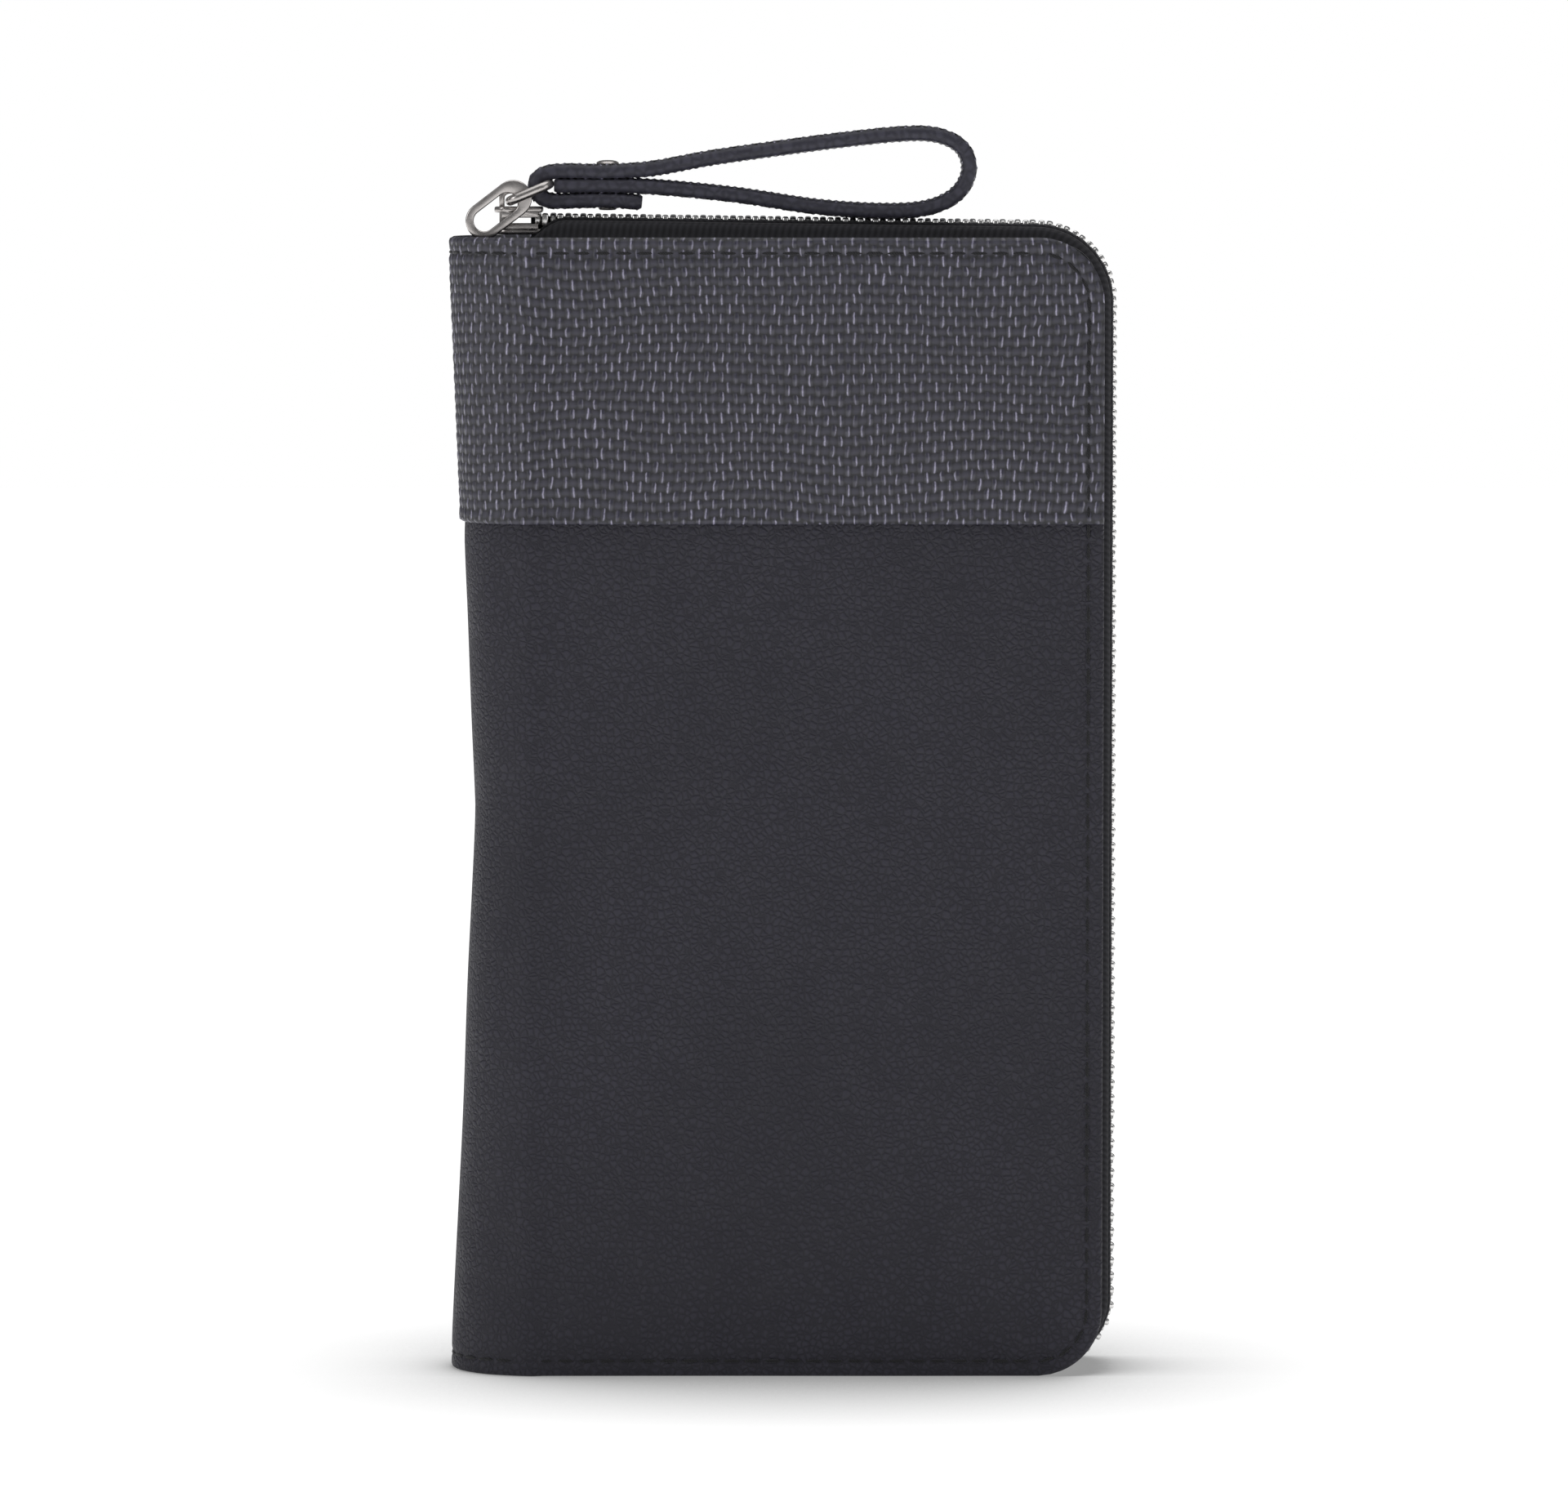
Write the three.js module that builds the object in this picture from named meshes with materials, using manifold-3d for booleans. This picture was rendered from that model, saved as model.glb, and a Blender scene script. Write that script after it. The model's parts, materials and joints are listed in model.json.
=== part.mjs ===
// Travel document organizer: a zip-around book wallet with a woven band and a wrist strap.
// Millimetres, +Z up. The wallet stands on the bottom edges of its covers at z = 0.
// The front cover faces -Y, the spine is at -X and the zip opens at +X.
import * as THREE from 'three';
import { mergeVertices } from 'three/addons/utils/BufferGeometryUtils.js';
import Module from 'manifold-3d';

const wasm = await Module();
wasm.setup();

// ---- driving dimensions -------------------------------------------------------------------
const coverHeight = 190;
const coverRight = 53.3;
const creaseX = -42.5;
const cornerRadius = 11;
const halfDepth = 12.5;
const meetingGap = 0.3;

const leatherThickness = 1.6;
const bandBottom = 142.5;
const bandProud = 0.6;
const bandTrimAngle = 0.07;
const boardThickness = 1.4;
const liningThickness = 0.6;
const boardInset = 1;

const spineBulge = 12.4;
const spineWaist = 4.3;
const spineWaistHeight = 94.5;

const toothPitch = 5;
const chainHalfWidth = 2.7;
const chainHalfThickness = 1.1;
const railWidth = 0.8;
const toothTip = 0.6;
const wedgeHalfWidth = 0.3;
const chainRiseAtSlider = 2.6;
const chainRiseAtCorner = 1.4;
const chainRiseAtSide = 1.1;
const chainRiseAtBottom = -1.4;
const tapeThickness = 0.7;
const tapeShelf = -2.4;
const tapeHem = -4.9;
const tapeHemY = 7.65;
const frontTapeStart = -36.5;

const pocketLeft = -40;
const pocketRight = 48;
const pocketBottom = 6;
const pocketRadius = 7;
const cardSlotCount = 6;
const cardSlotStep = 12;
const cardSlotTop = 178;
const cardSlotHeight = 50;
const cardSlotThickness = 0.6;

const sliderX = -44;
const sliderHalfLength = 4;
const sliderHalfWidth = 3.4;
const sliderPlate = 0.8;
const plateClearance = 0.3;

const ringWire = 0.8;
const ringHalfWidth = 6.95;
const ringLowerX = -45.3;
const ringUpperX = -39;
const ringUpperZ = 198.6;

const tabLength = 12.3;
const tabHalfWidth = 3.1;
const tabDroop = 37.4;
const tabPivot = 8.54;
const tabInnerY = 4.95;
const tabThickness = 0.9;

const strapHalfWidth = 4.5;
const strapHalfThickness = 0.95;
const rivetX = -29.2;

const coinZipZ = 162;
const coinZipY = 6.5;
const coinZipPitch = 4;
const coinSliderX = -33;

// ---- colours ------------------------------------------------------------------------------
const finishes = {
  leather: [0x38383e, 0.62, 0],
  woven: [0x45444d, 0.5, 0],
  board: [0x4a4238, 0.9, 0],
  lining: [0x2b2b30, 0.85, 0],
  tape: [0x303033, 0.9, 0],
  metal: [0xa8a09c, 0.3, 1],
};

function material(finish) {
  const [color, roughness, metalness] = finishes[finish];
  return new THREE.MeshStandardMaterial({ color, roughness, metalness });
}

function piece(name, geometry, finish) {
  const mesh = new THREE.Mesh(geometry, material(finish));
  mesh.name = name;
  return mesh;
}

// ---- solids -------------------------------------------------------------------------------
function signedVolume(positions, index) {
  const a = new THREE.Vector3();
  const b = new THREE.Vector3();
  const c = new THREE.Vector3();
  let volume = 0;
  for (let i = 0; i < index.length; i += 3) {
    a.fromArray(positions, 3 * index[i]);
    b.fromArray(positions, 3 * index[i + 1]);
    c.fromArray(positions, 3 * index[i + 2]);
    volume += a.dot(b.cross(c)) / 6;
  }
  return volume;
}

// Joins cross-sections of equal count into one closed body. `flat` is the section in its own
// plane, used to close the two ends; a looped body has no ends.
function loft(sections, flat, looped = false) {
  const clockwise = THREE.ShapeUtils.area(flat) < 0;
  const contour = clockwise ? [...flat].reverse() : flat;
  const rings = clockwise ? sections.map((ring) => [...ring].reverse()) : sections;
  const count = contour.length;
  const positions = rings.flat(2);
  const index = [];
  const spans = looped ? rings.length : rings.length - 1;
  for (let i = 0; i < spans; i += 1) {
    const next = (i + 1) % rings.length;
    for (let j = 0; j < count; j += 1) {
      const k = (j + 1) % count;
      index.push(i * count + j, i * count + k, next * count + k);
      index.push(i * count + j, next * count + k, next * count + j);
    }
  }
  if (!looped) {
    const last = (rings.length - 1) * count;
    for (const [a, b, c] of THREE.ShapeUtils.triangulateShape(contour, [])) {
      index.push(c, b, a);
      index.push(last + a, last + b, last + c);
    }
  }
  if (signedVolume(positions, index) < 0) {
    index.reverse();
  }
  const geometry = new THREE.BufferGeometry();
  geometry.setAttribute('position', new THREE.Float32BufferAttribute(positions, 3));
  geometry.setIndex(index);
  return geometry;
}

function toSolid(geometry) {
  const bare = geometry.clone();
  bare.deleteAttribute('normal');
  bare.deleteAttribute('uv');
  const merged = mergeVertices(bare, 1e-5);
  return new wasm.Manifold(new wasm.Mesh({
    numProp: 3,
    vertProperties: new Float32Array(merged.attributes.position.array),
    triVerts: new Uint32Array(merged.index.array),
  }));
}

function toGeometry(solid) {
  const mesh = solid.getMesh();
  const geometry = new THREE.BufferGeometry();
  geometry.setAttribute('position', new THREE.BufferAttribute(mesh.vertProperties, 3));
  geometry.setIndex(new THREE.BufferAttribute(mesh.triVerts, 1));
  return geometry;
}

function union(geometries) {
  return geometries.map(toSolid).reduce((sum, solid) => sum.add(solid));
}

function box(low, high) {
  const size = high.map((value, i) => value - low[i]);
  const geometry = new THREE.BoxGeometry(...size);
  geometry.translate(...low.map((value, i) => value + size[i] / 2));
  return geometry;
}

// An outline in the XZ plane given a thickness from y0 to y1.
function plate(shape, y0, y1, curveSegments = 6) {
  const depth = y1 - y0;
  const geometry = new THREE.ExtrudeGeometry(shape, { depth, bevelEnabled: false, curveSegments });
  geometry.rotateX(Math.PI / 2);
  geometry.translate(0, y1, 0);
  return geometry;
}

// A panel whose free corners, on the zip side, are rounded.
function panelShape(left, right, bottom, top, lowerRadius, upperRadius) {
  const shape = new THREE.Shape();
  shape.moveTo(left, bottom);
  shape.lineTo(right - lowerRadius, bottom);
  if (lowerRadius > 0) {
    shape.absarc(right - lowerRadius, bottom + lowerRadius, lowerRadius, -Math.PI / 2, 0, false);
  }
  shape.lineTo(right, top - upperRadius);
  if (upperRadius > 0) {
    shape.absarc(right - upperRadius, top - upperRadius, upperRadius, 0, Math.PI / 2, false);
  }
  shape.lineTo(left, top);
  return shape;
}

// Puts a range of distances from the middle plane on one side: -1 is the front, +1 the back.
function sided(side, near, far) {
  return side < 0 ? [-far, -near] : [near, far];
}

// ---- covers -------------------------------------------------------------------------------
const coverLeft = creaseX + meetingGap / 2;
const leatherInner = halfDepth - leatherThickness;
const boardOuter = leatherInner - meetingGap;
const boardInner = boardOuter - boardThickness;
const liningOuter = boardInner - meetingGap;
const liningInner = liningOuter - liningThickness;

function insetPanel(inset) {
  const radius = cornerRadius - inset;
  return panelShape(coverLeft + inset, coverRight - inset, inset, coverHeight - inset, radius, radius);
}

function coverPieces(name, side) {
  const leatherShape = panelShape(coverLeft, coverRight, 0, bandBottom - meetingGap, cornerRadius, 0);
  // The proud band stops short of the crease, where it would meet the spine's as they fold.
  const bandLeft = coverLeft + bandProud;
  const bandShape = panelShape(bandLeft, coverRight, bandBottom, coverHeight, 0, cornerRadius);
  const leather = plate(leatherShape, ...sided(side, leatherInner, halfDepth));
  const band = plate(bandShape, ...sided(side, leatherInner, halfDepth + bandProud));
  const board = plate(insetPanel(boardInset), ...sided(side, boardInner, boardOuter), 4);
  const lining = plate(insetPanel(boardInset), ...sided(side, liningInner, liningOuter), 4);
  return [
    piece(`${name}_leather_cover`, leather, 'leather'),
    piece(`${name}_woven_band`, band, 'woven'),
    piece(`${name}_cover_board`, board, 'board'),
    piece(`${name}_lining`, lining, 'lining'),
  ];
}

// ---- spine --------------------------------------------------------------------------------
// The spine bulges most at its ends and is pulled in at its waist.
function spineDepth(z) {
  const t = Math.abs(z - spineWaistHeight) / (coverHeight / 2);
  return spineBulge - spineWaist * (1 - Math.min(t, 1) ** 1.5);
}

function arcPoints(z, halfWidth, depthChange, segments, trim = 0) {
  const points = [];
  for (let i = 0; i <= segments; i += 1) {
    const angle = Math.PI / 2 + trim + ((Math.PI - 2 * trim) * i) / segments;
    const x = creaseX - meetingGap / 2 + (spineDepth(z) + depthChange) * Math.cos(angle);
    points.push([x, halfWidth * Math.sin(angle), z]);
  }
  return points;
}

function spineShell(bottom, top, outset, thickness, rows = 8, trim = 0) {
  const segments = 12;
  const sections = [];
  for (let i = 0; i <= rows; i += 1) {
    const z = bottom + ((top - bottom) * i) / rows;
    const inset = outset - thickness;
    const outer = arcPoints(z, halfDepth + outset, outset, segments, trim);
    const inner = arcPoints(z, halfDepth + inset, inset, segments, trim);
    sections.push([...outer, ...inner.reverse()]);
  }
  const flat = sections[0].map(([x, y]) => new THREE.Vector2(x, y));
  return loft(sections, flat);
}

function zipEndTab(z) {
  const outline = arcPoints(z, liningInner - meetingGap, -(halfDepth - liningInner), 10);
  const section = (height) => outline.map(([x, y]) => [x, y, height]);
  const flat = outline.map(([x, y]) => new THREE.Vector2(x, y));
  return loft([section(z), section(z + 1)], flat);
}

function spinePieces() {
  const liningOutset = leatherInner - meetingGap - halfDepth;
  const bandThickness = leatherThickness + bandProud;
  const band = spineShell(bandBottom, coverHeight, bandProud, bandThickness, 4, bandTrimAngle);
  return [
    piece('spine_leather', spineShell(0, bandBottom - meetingGap, 0, leatherThickness), 'leather'),
    piece('spine_woven_band', band, 'woven'),
    piece('spine_lining', spineShell(3, coverHeight - 5, liningOutset, liningThickness), 'lining'),
    piece('zip_end_tab_top', zipEndTab(coverHeight - 3.8), 'leather'),
    piece('zip_end_tab_bottom', zipEndTab(1.6), 'leather'),
  ];
}

// ---- main zip -----------------------------------------------------------------------------
// The zip follows the cover's edge along the top, round the corner, down the side, round the
// lower corner and back along the bottom. A station has a point on the cover's edge, the
// outward direction there, and how far the chain's middle stands outside the edge.
const cornerLength = (Math.PI * cornerRadius) / 2;
const sideLength = coverHeight - 2 * cornerRadius;
const cornerX = coverRight - cornerRadius;
const chainSlope = (chainRiseAtCorner - chainRiseAtSlider) / (cornerX - coverLeft);

function zipStation(start, s) {
  const topLength = cornerX - start;
  let rest = s;
  if (rest <= topLength) {
    const x = start + rest;
    const rise = chainRiseAtSlider + (x - coverLeft) * chainSlope;
    return { x, z: coverHeight, nx: 0, nz: 1, rise };
  }
  rest -= topLength;
  if (rest <= cornerLength) {
    const angle = Math.PI / 2 - rest / cornerRadius;
    const rise = THREE.MathUtils.lerp(chainRiseAtCorner, chainRiseAtSide, rest / cornerLength);
    return cornerStation(coverHeight - cornerRadius, angle, rise);
  }
  rest -= cornerLength;
  if (rest <= sideLength) {
    return { x: coverRight, z: coverHeight - cornerRadius - rest, nx: 1, nz: 0, rise: chainRiseAtSide };
  }
  rest -= sideLength;
  if (rest <= cornerLength) {
    const rise = THREE.MathUtils.lerp(chainRiseAtSide, chainRiseAtBottom, rest / cornerLength);
    return cornerStation(cornerRadius, -rest / cornerRadius, rise);
  }
  rest -= cornerLength;
  return { x: cornerX - rest, z: 0, nx: 0, nz: -1, rise: chainRiseAtBottom };
}

function cornerStation(centreZ, angle, rise) {
  const nx = Math.cos(angle);
  const nz = Math.sin(angle);
  return { x: cornerX + cornerRadius * nx, z: centreZ + cornerRadius * nz, nx, nz, rise };
}

function zipLength(start, end) {
  return cornerX - start + 2 * cornerLength + sideLength + cornerX - end;
}

function onStation(station, y, n) {
  return [station.x + station.nx * n, y, station.z + station.nz * n];
}

// Gives a line of [y, n] points a thickness, as one closed outline.
function thicken(points, thickness) {
  const offset = (side) => points.map((point, i) => {
    const before = points[Math.max(i - 1, 0)];
    const after = points[Math.min(i + 1, points.length - 1)];
    const into = new THREE.Vector2(point[0] - before[0], point[1] - before[1]).normalize();
    const out = new THREE.Vector2(after[0] - point[0], after[1] - point[1]).normalize();
    const along = into.clone().add(out).normalize();
    const stretch = 1 / Math.max(along.dot(i === 0 ? out : into), 0.5);
    const reach = (side * thickness * stretch) / 2;
    return [point[0] - along.y * reach, point[1] + along.x * reach];
  });
  return [...offset(1), ...offset(-1).reverse()];
}

function tapeSection(rise) {
  const line = [
    [chainHalfWidth + meetingGap, rise],
    [chainHalfWidth + 1.4, rise - 0.1],
    [chainHalfWidth + 1.8, tapeShelf],
    [tapeHemY, tapeShelf - 0.4],
    [tapeHemY, tapeHem],
  ];
  return thicken(line, tapeThickness);
}

function zipTape(side, start, end) {
  const topLength = cornerX - start;
  const stops = [0, topLength];
  const cornerSteps = 6;
  for (let i = 1; i <= cornerSteps; i += 1) {
    stops.push(topLength + (cornerLength * i) / cornerSteps);
  }
  for (let i = 0; i <= cornerSteps; i += 1) {
    stops.push(topLength + cornerLength + sideLength + (cornerLength * i) / cornerSteps);
  }
  stops.push(zipLength(start, end));
  const stations = stops.map((s) => zipStation(start, s));
  const sections = stations.map((station) => (
    tapeSection(station.rise).map(([y, n]) => onStation(station, side * y, n))
  ));
  const flat = tapeSection(stations[0].rise).map(([y, n]) => new THREE.Vector2(y, n));
  return loft(sections, flat);
}

// One row of teeth and the bead that they are clamped to, as a comb. The rows stand apart by
// more than the slider's wedge, because they can't flex round it.
function zipComb(side, start, end) {
  const length = zipLength(start, end);
  const steps = 2 * Math.floor(length / toothPitch);
  const contour = (tip) => [
    [chainHalfWidth, -chainHalfThickness],
    [chainHalfWidth, chainHalfThickness],
    [tip, chainHalfThickness * 0.8],
    [tip, -chainHalfThickness * 0.8],
  ];
  const sections = [];
  for (let i = 0; i <= steps; i += 1) {
    const station = zipStation(start, (length * i) / steps);
    const tip = i % 2 === 0 ? toothTip : chainHalfWidth - railWidth;
    sections.push(contour(tip).map(([y, n]) => onStation(station, side * y, station.rise + n)));
  }
  const flat = contour(toothTip).map(([y, n]) => new THREE.Vector2(y, n));
  return loft(sections, flat);
}

function zipPieces(name, side, start, end) {
  return [
    piece(`${name}_zip_tape`, zipTape(side, start, end - 2), 'tape'),
    piece(`${name}_zip_teeth`, zipComb(side, start, end), 'metal'),
  ];
}

function bottomStop() {
  const z = -chainRiseAtBottom;
  const low = [coverLeft, meetingGap / 2, z - chainHalfThickness];
  const high = [coverLeft + 1.8, chainHalfWidth, z + chainHalfThickness];
  return piece('zip_bottom_stop', box(low, high), 'metal');
}

// ---- pockets ------------------------------------------------------------------------------
function pocket(name, side, bottom, top, near, thickness, finish = 'lining') {
  const lowerRadius = bottom < cornerRadius ? pocketRadius : 0;
  const upperRadius = top > coverHeight - cornerRadius ? pocketRadius : 0;
  const shape = panelShape(pocketLeft, pocketRight, bottom, top, lowerRadius, upperRadius);
  return piece(name, plate(shape, ...sided(side, near, near + thickness)), finish);
}

function frontPockets() {
  const pieces = [];
  const firstFar = liningInner - meetingGap;
  for (let i = 0; i < cardSlotCount; i += 1) {
    const top = cardSlotTop - i * cardSlotStep;
    const bottom = top - cardSlotHeight;
    const near = firstFar - cardSlotThickness - i * (cardSlotThickness + meetingGap);
    pieces.push(pocket(`card_slot_${i + 1}`, -1, bottom, top, near, cardSlotThickness, 'leather'));
  }
  const lowestSlot = cardSlotTop - (cardSlotCount - 1) * cardSlotStep - cardSlotHeight;
  pieces.push(pocket('slip_pocket', -1, pocketBottom, lowestSlot - 2, firstFar - 1.2, 0.8));
  return pieces;
}

// A small zip runs across the back cover's inside, between the two panels of the coin pocket.
function coinComb(side) {
  const left = pocketLeft + 4.8;
  const steps = 2 * Math.floor((pocketRight - 2 - left) / coinZipPitch);
  const contour = (tip) => [[0.6, 1.9], [-0.6, 1.9], [-0.5, tip], [0.5, tip]];
  const sections = [];
  for (let i = 0; i <= steps; i += 1) {
    const x = left + (i * coinZipPitch) / 2;
    const tip = i % 2 === 0 ? toothTip : 1.3;
    sections.push(contour(tip).map(([y, z]) => [x, coinZipY + y, coinZipZ + side * z]));
  }
  const flat = contour(toothTip).map(([y, z]) => new THREE.Vector2(y, z));
  return loft(sections, flat);
}

function backPockets() {
  const seam = 2.6;
  const near = coinZipY - 0.35;
  return [
    pocket('coin_pocket_upper_panel', 1, coinZipZ + seam, coverHeight - pocketBottom - 3, near, 0.7),
    pocket('coin_pocket_lower_panel', 1, pocketBottom, coinZipZ - seam, near, 0.7),
    piece('coin_zip_upper_teeth', coinComb(1), 'metal'),
    piece('coin_zip_lower_teeth', coinComb(-1), 'metal'),
    pocket('passport_pocket', 1, pocketBottom, 132, near - 0.9, 0.6, 'leather'),
    pocket('ticket_pocket', 1, pocketBottom, 108, near - 1.8, 0.6, 'leather'),
  ];
}

// ---- main slider, ring and tab --------------------------------------------------------------
const plateLow = chainHalfThickness + plateClearance;
const plateHigh = plateLow + sliderPlate;
const sliderZ = coverHeight + chainRiseAtSlider + (sliderX - coverLeft) * chainSlope;
const ringLowerZ = sliderZ + plateHigh + 0.3 + ringWire;

function sliderPlateShape() {
  const shape = new THREE.Shape();
  const nose = sliderHalfWidth * 0.55;
  shape.moveTo(-sliderHalfLength, -nose);
  shape.lineTo(-sliderHalfLength * 0.6, -sliderHalfWidth);
  shape.lineTo(sliderHalfLength, -sliderHalfWidth * 0.9);
  shape.lineTo(sliderHalfLength, sliderHalfWidth * 0.9);
  shape.lineTo(-sliderHalfLength * 0.6, sliderHalfWidth);
  shape.lineTo(-sliderHalfLength, nose);
  return shape;
}

function sliderPlateAt(z) {
  const depth = sliderPlate;
  const geometry = new THREE.ExtrudeGeometry(sliderPlateShape(), { depth, bevelEnabled: false });
  geometry.translate(0, 0, z);
  return geometry;
}

// Two plates joined by the wedge between the rows. The flanges stop short of the mouth, so
// that the front row can leave it as the wallet opens.
function sliderSolid() {
  const overlap = 0.1;
  const flangeEnd = 1.1;
  const tapeRoom = 0.65;
  const parts = [
    sliderPlateAt(plateLow),
    sliderPlateAt(-plateHigh),
    box(
      [-sliderHalfLength + 0.2, -wedgeHalfWidth, -plateLow - overlap],
      [-2.4, wedgeHalfWidth, plateLow + overlap],
    ),
  ];
  for (const side of [-1, 1]) {
    const [near, far] = sided(side, chainHalfWidth + plateClearance, sliderHalfWidth);
    parts.push(box([-2.3, near, -plateLow - overlap], [flangeEnd, far, -tapeRoom]));
    parts.push(box([-2.3, near, tapeRoom], [flangeEnd, far, plateLow + overlap]));
  }
  const barX = ringLowerX - sliderX;
  const roof = ringLowerZ - sliderZ + ringWire + 0.3;
  const reach = ringWire + 0.3;
  const leg = 0.8;
  const foot = plateHigh - overlap;
  parts.push(box([barX - reach - leg, -0.9, foot], [barX - reach, 0.9, roof + leg]));
  parts.push(box([barX + reach, -0.9, foot], [barX + reach + leg, 0.9, roof + leg]));
  parts.push(box([barX - reach - leg, -0.9, roof], [barX + reach + leg, 0.9, roof + leg]));
  return toGeometry(union(parts));
}

// A wire ring whose flat is along Y: one bar under the slider's bridge, one in the strap.
function ringSolid() {
  const dx = ringUpperX - ringLowerX;
  const dz = ringUpperZ - ringLowerZ;
  const length = Math.hypot(dx, dz);
  const corner = 1;
  const cornerSteps = 3;
  const wireSides = 8;
  const centres = [
    [ringHalfWidth - corner, length - corner],
    [-ringHalfWidth + corner, length - corner],
    [-ringHalfWidth + corner, corner],
    [ringHalfWidth - corner, corner],
  ];
  const sections = [];
  centres.forEach(([cy, cu], quarter) => {
    for (let i = 0; i <= cornerSteps; i += 1) {
      const angle = (Math.PI / 2) * (quarter + i / cornerSteps);
      const section = [];
      for (let k = 0; k < wireSides; k += 1) {
        const turn = (2 * Math.PI * k) / wireSides;
        const reach = corner + ringWire * Math.cos(turn);
        const y = cy + reach * Math.cos(angle);
        const u = cu + reach * Math.sin(angle);
        const lift = ringWire * Math.sin(turn);
        const x = ringLowerX + (u * dx - lift * dz) / length;
        const z = ringLowerZ + (u * dz + lift * dx) / length;
        section.push([x, y, z]);
      }
      sections.push(section);
    }
  });
  const flat = [];
  for (let k = 0; k < wireSides; k += 1) {
    const turn = (2 * Math.PI * k) / wireSides;
    flat.push(new THREE.Vector2(Math.cos(turn), Math.sin(turn)));
  }
  return loft(sections, flat, true);
}

function stadium(path, start, end, halfWidth) {
  path.moveTo(start + halfWidth, -halfWidth);
  path.lineTo(end - halfWidth, -halfWidth);
  path.absarc(end - halfWidth, 0, halfWidth, -Math.PI / 2, Math.PI / 2, false);
  path.lineTo(start + halfWidth, halfWidth);
  path.absarc(start + halfWidth, 0, halfWidth, Math.PI / 2, 1.5 * Math.PI, false);
  return path;
}

// The oval tab hangs on the ring's lower bar and leans down behind the cover's top edge.
function tabMesh() {
  const shape = stadium(new THREE.Shape(), -tabPivot, tabLength - tabPivot, tabHalfWidth);
  const holeEnd = ringWire + 0.3;
  shape.holes.push(stadium(new THREE.Path(), -tabPivot + 1.5, holeEnd, 1.7));
  const mesh = piece('pull_tab', plate(shape, -tabInnerY - tabThickness, -tabInnerY, 8), 'metal');
  mesh.position.set(ringLowerX, 0, ringLowerZ);
  mesh.rotation.y = -THREE.MathUtils.degToRad(tabDroop);
  return mesh;
}

// ---- wrist strap ----------------------------------------------------------------------------
// The strap's middle line, from its tail, round the ring's upper bar, along the top of the
// loop, and back to an end that is held inside the fold.
const strapLine = [
  [-23.5, 195.6], [-27, 195.9], [-31, 196], [-35, 195.9], [-38.6, 195.9], [-40.6, 196.8],
  [-41.2, 198.5], [-40.5, 200.2], [-38.5, 201], [-35, 201.1], [-30, 200.8], [-22, 201.2],
  [-12, 203], [0, 204.7], [10, 206], [20, 207], [25.6, 206.8], [29.5, 205], [31, 202],
  [30.4, 198.9], [28, 196.3], [23.5, 194.6], [16.5, 194.2], [5.6, 194.9], [-8.1, 196.9],
  [-21.7, 198.2], [-30, 198.35], [-37.4, 198.35],
];

function strapSolid() {
  const points = strapLine.map(([x, z]) => new THREE.Vector3(x, 0, z));
  const curve = new THREE.CatmullRomCurve3(points, false, 'centripetal');
  const steps = 84;
  const sections = [];
  for (let i = 0; i <= steps; i += 1) {
    const point = curve.getPointAt(i / steps);
    const along = curve.getTangentAt(i / steps);
    const corner = (y, t) => [point.x - along.z * t, y, point.z + along.x * t];
    sections.push([
      corner(-strapHalfWidth, -strapHalfThickness),
      corner(strapHalfWidth, -strapHalfThickness),
      corner(strapHalfWidth, strapHalfThickness),
      corner(-strapHalfWidth, strapHalfThickness),
    ]);
  }
  const flat = [[-1, -1], [1, -1], [1, 1], [-1, 1]].map(([u, v]) => new THREE.Vector2(u, v));
  const strap = toSolid(loft(sections, flat));
  const hole = new THREE.CylinderGeometry(1, 1, 12, 12);
  hole.rotateX(Math.PI / 2);
  hole.translate(rivetX, 0, 199);
  return toGeometry(strap.subtract(toSolid(hole)));
}

function rivetSolid() {
  const top = 201.95;
  const foot = 194.8;
  const profile = [
    [0, foot - 0.5], [1.5, foot - 0.5], [1.6, foot - 0.2], [1.6, foot], [0.7, foot],
    [0.7, top], [1.9, top], [1.8, top + 0.3], [1.2, top + 0.6], [0, top + 0.7],
  ];
  const geometry = new THREE.LatheGeometry(profile.map(([r, z]) => new THREE.Vector2(r, z)), 16);
  geometry.rotateX(Math.PI / 2);
  geometry.translate(rivetX, 0, 0);
  return geometry;
}

// ---- coin pocket's slider and pull ------------------------------------------------------------
const pullPivotY = 4.5;

function coinSliderSolid() {
  const halfLength = 3.2;
  const halfWidth = 2.5;
  const rowClearance = 0.3;
  const inner = coinZipY - 0.6 - rowClearance;
  const outer = coinZipY + 0.6 + rowClearance;
  const at = (low, high) => box(
    [coinSliderX + low[0], low[1], coinZipZ + low[2]],
    [coinSliderX + high[0], high[1], coinZipZ + high[2]],
  );
  const parts = [
    at([-halfLength, inner - 0.5, -halfWidth], [halfLength, inner, halfWidth]),
    at([-halfLength, outer, -halfWidth], [halfLength, outer + 0.4, halfWidth]),
    at(
      [-halfLength - 1.4, inner - 0.5, -wedgeHalfWidth],
      [-halfLength + 0.1, outer + 0.4, wedgeHalfWidth],
    ),
  ];
  const roof = pullPivotY - 0.65;
  parts.push(at([-1.4, roof - 0.5, -0.7], [1.4, roof, 0.7]));
  parts.push(at([-1.4, roof - 0.5, -0.7], [-0.8, inner - 0.4, 0.7]));
  parts.push(at([0.8, roof - 0.5, -0.7], [1.4, inner - 0.4, 0.7]));
  return toGeometry(union(parts));
}

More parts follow.
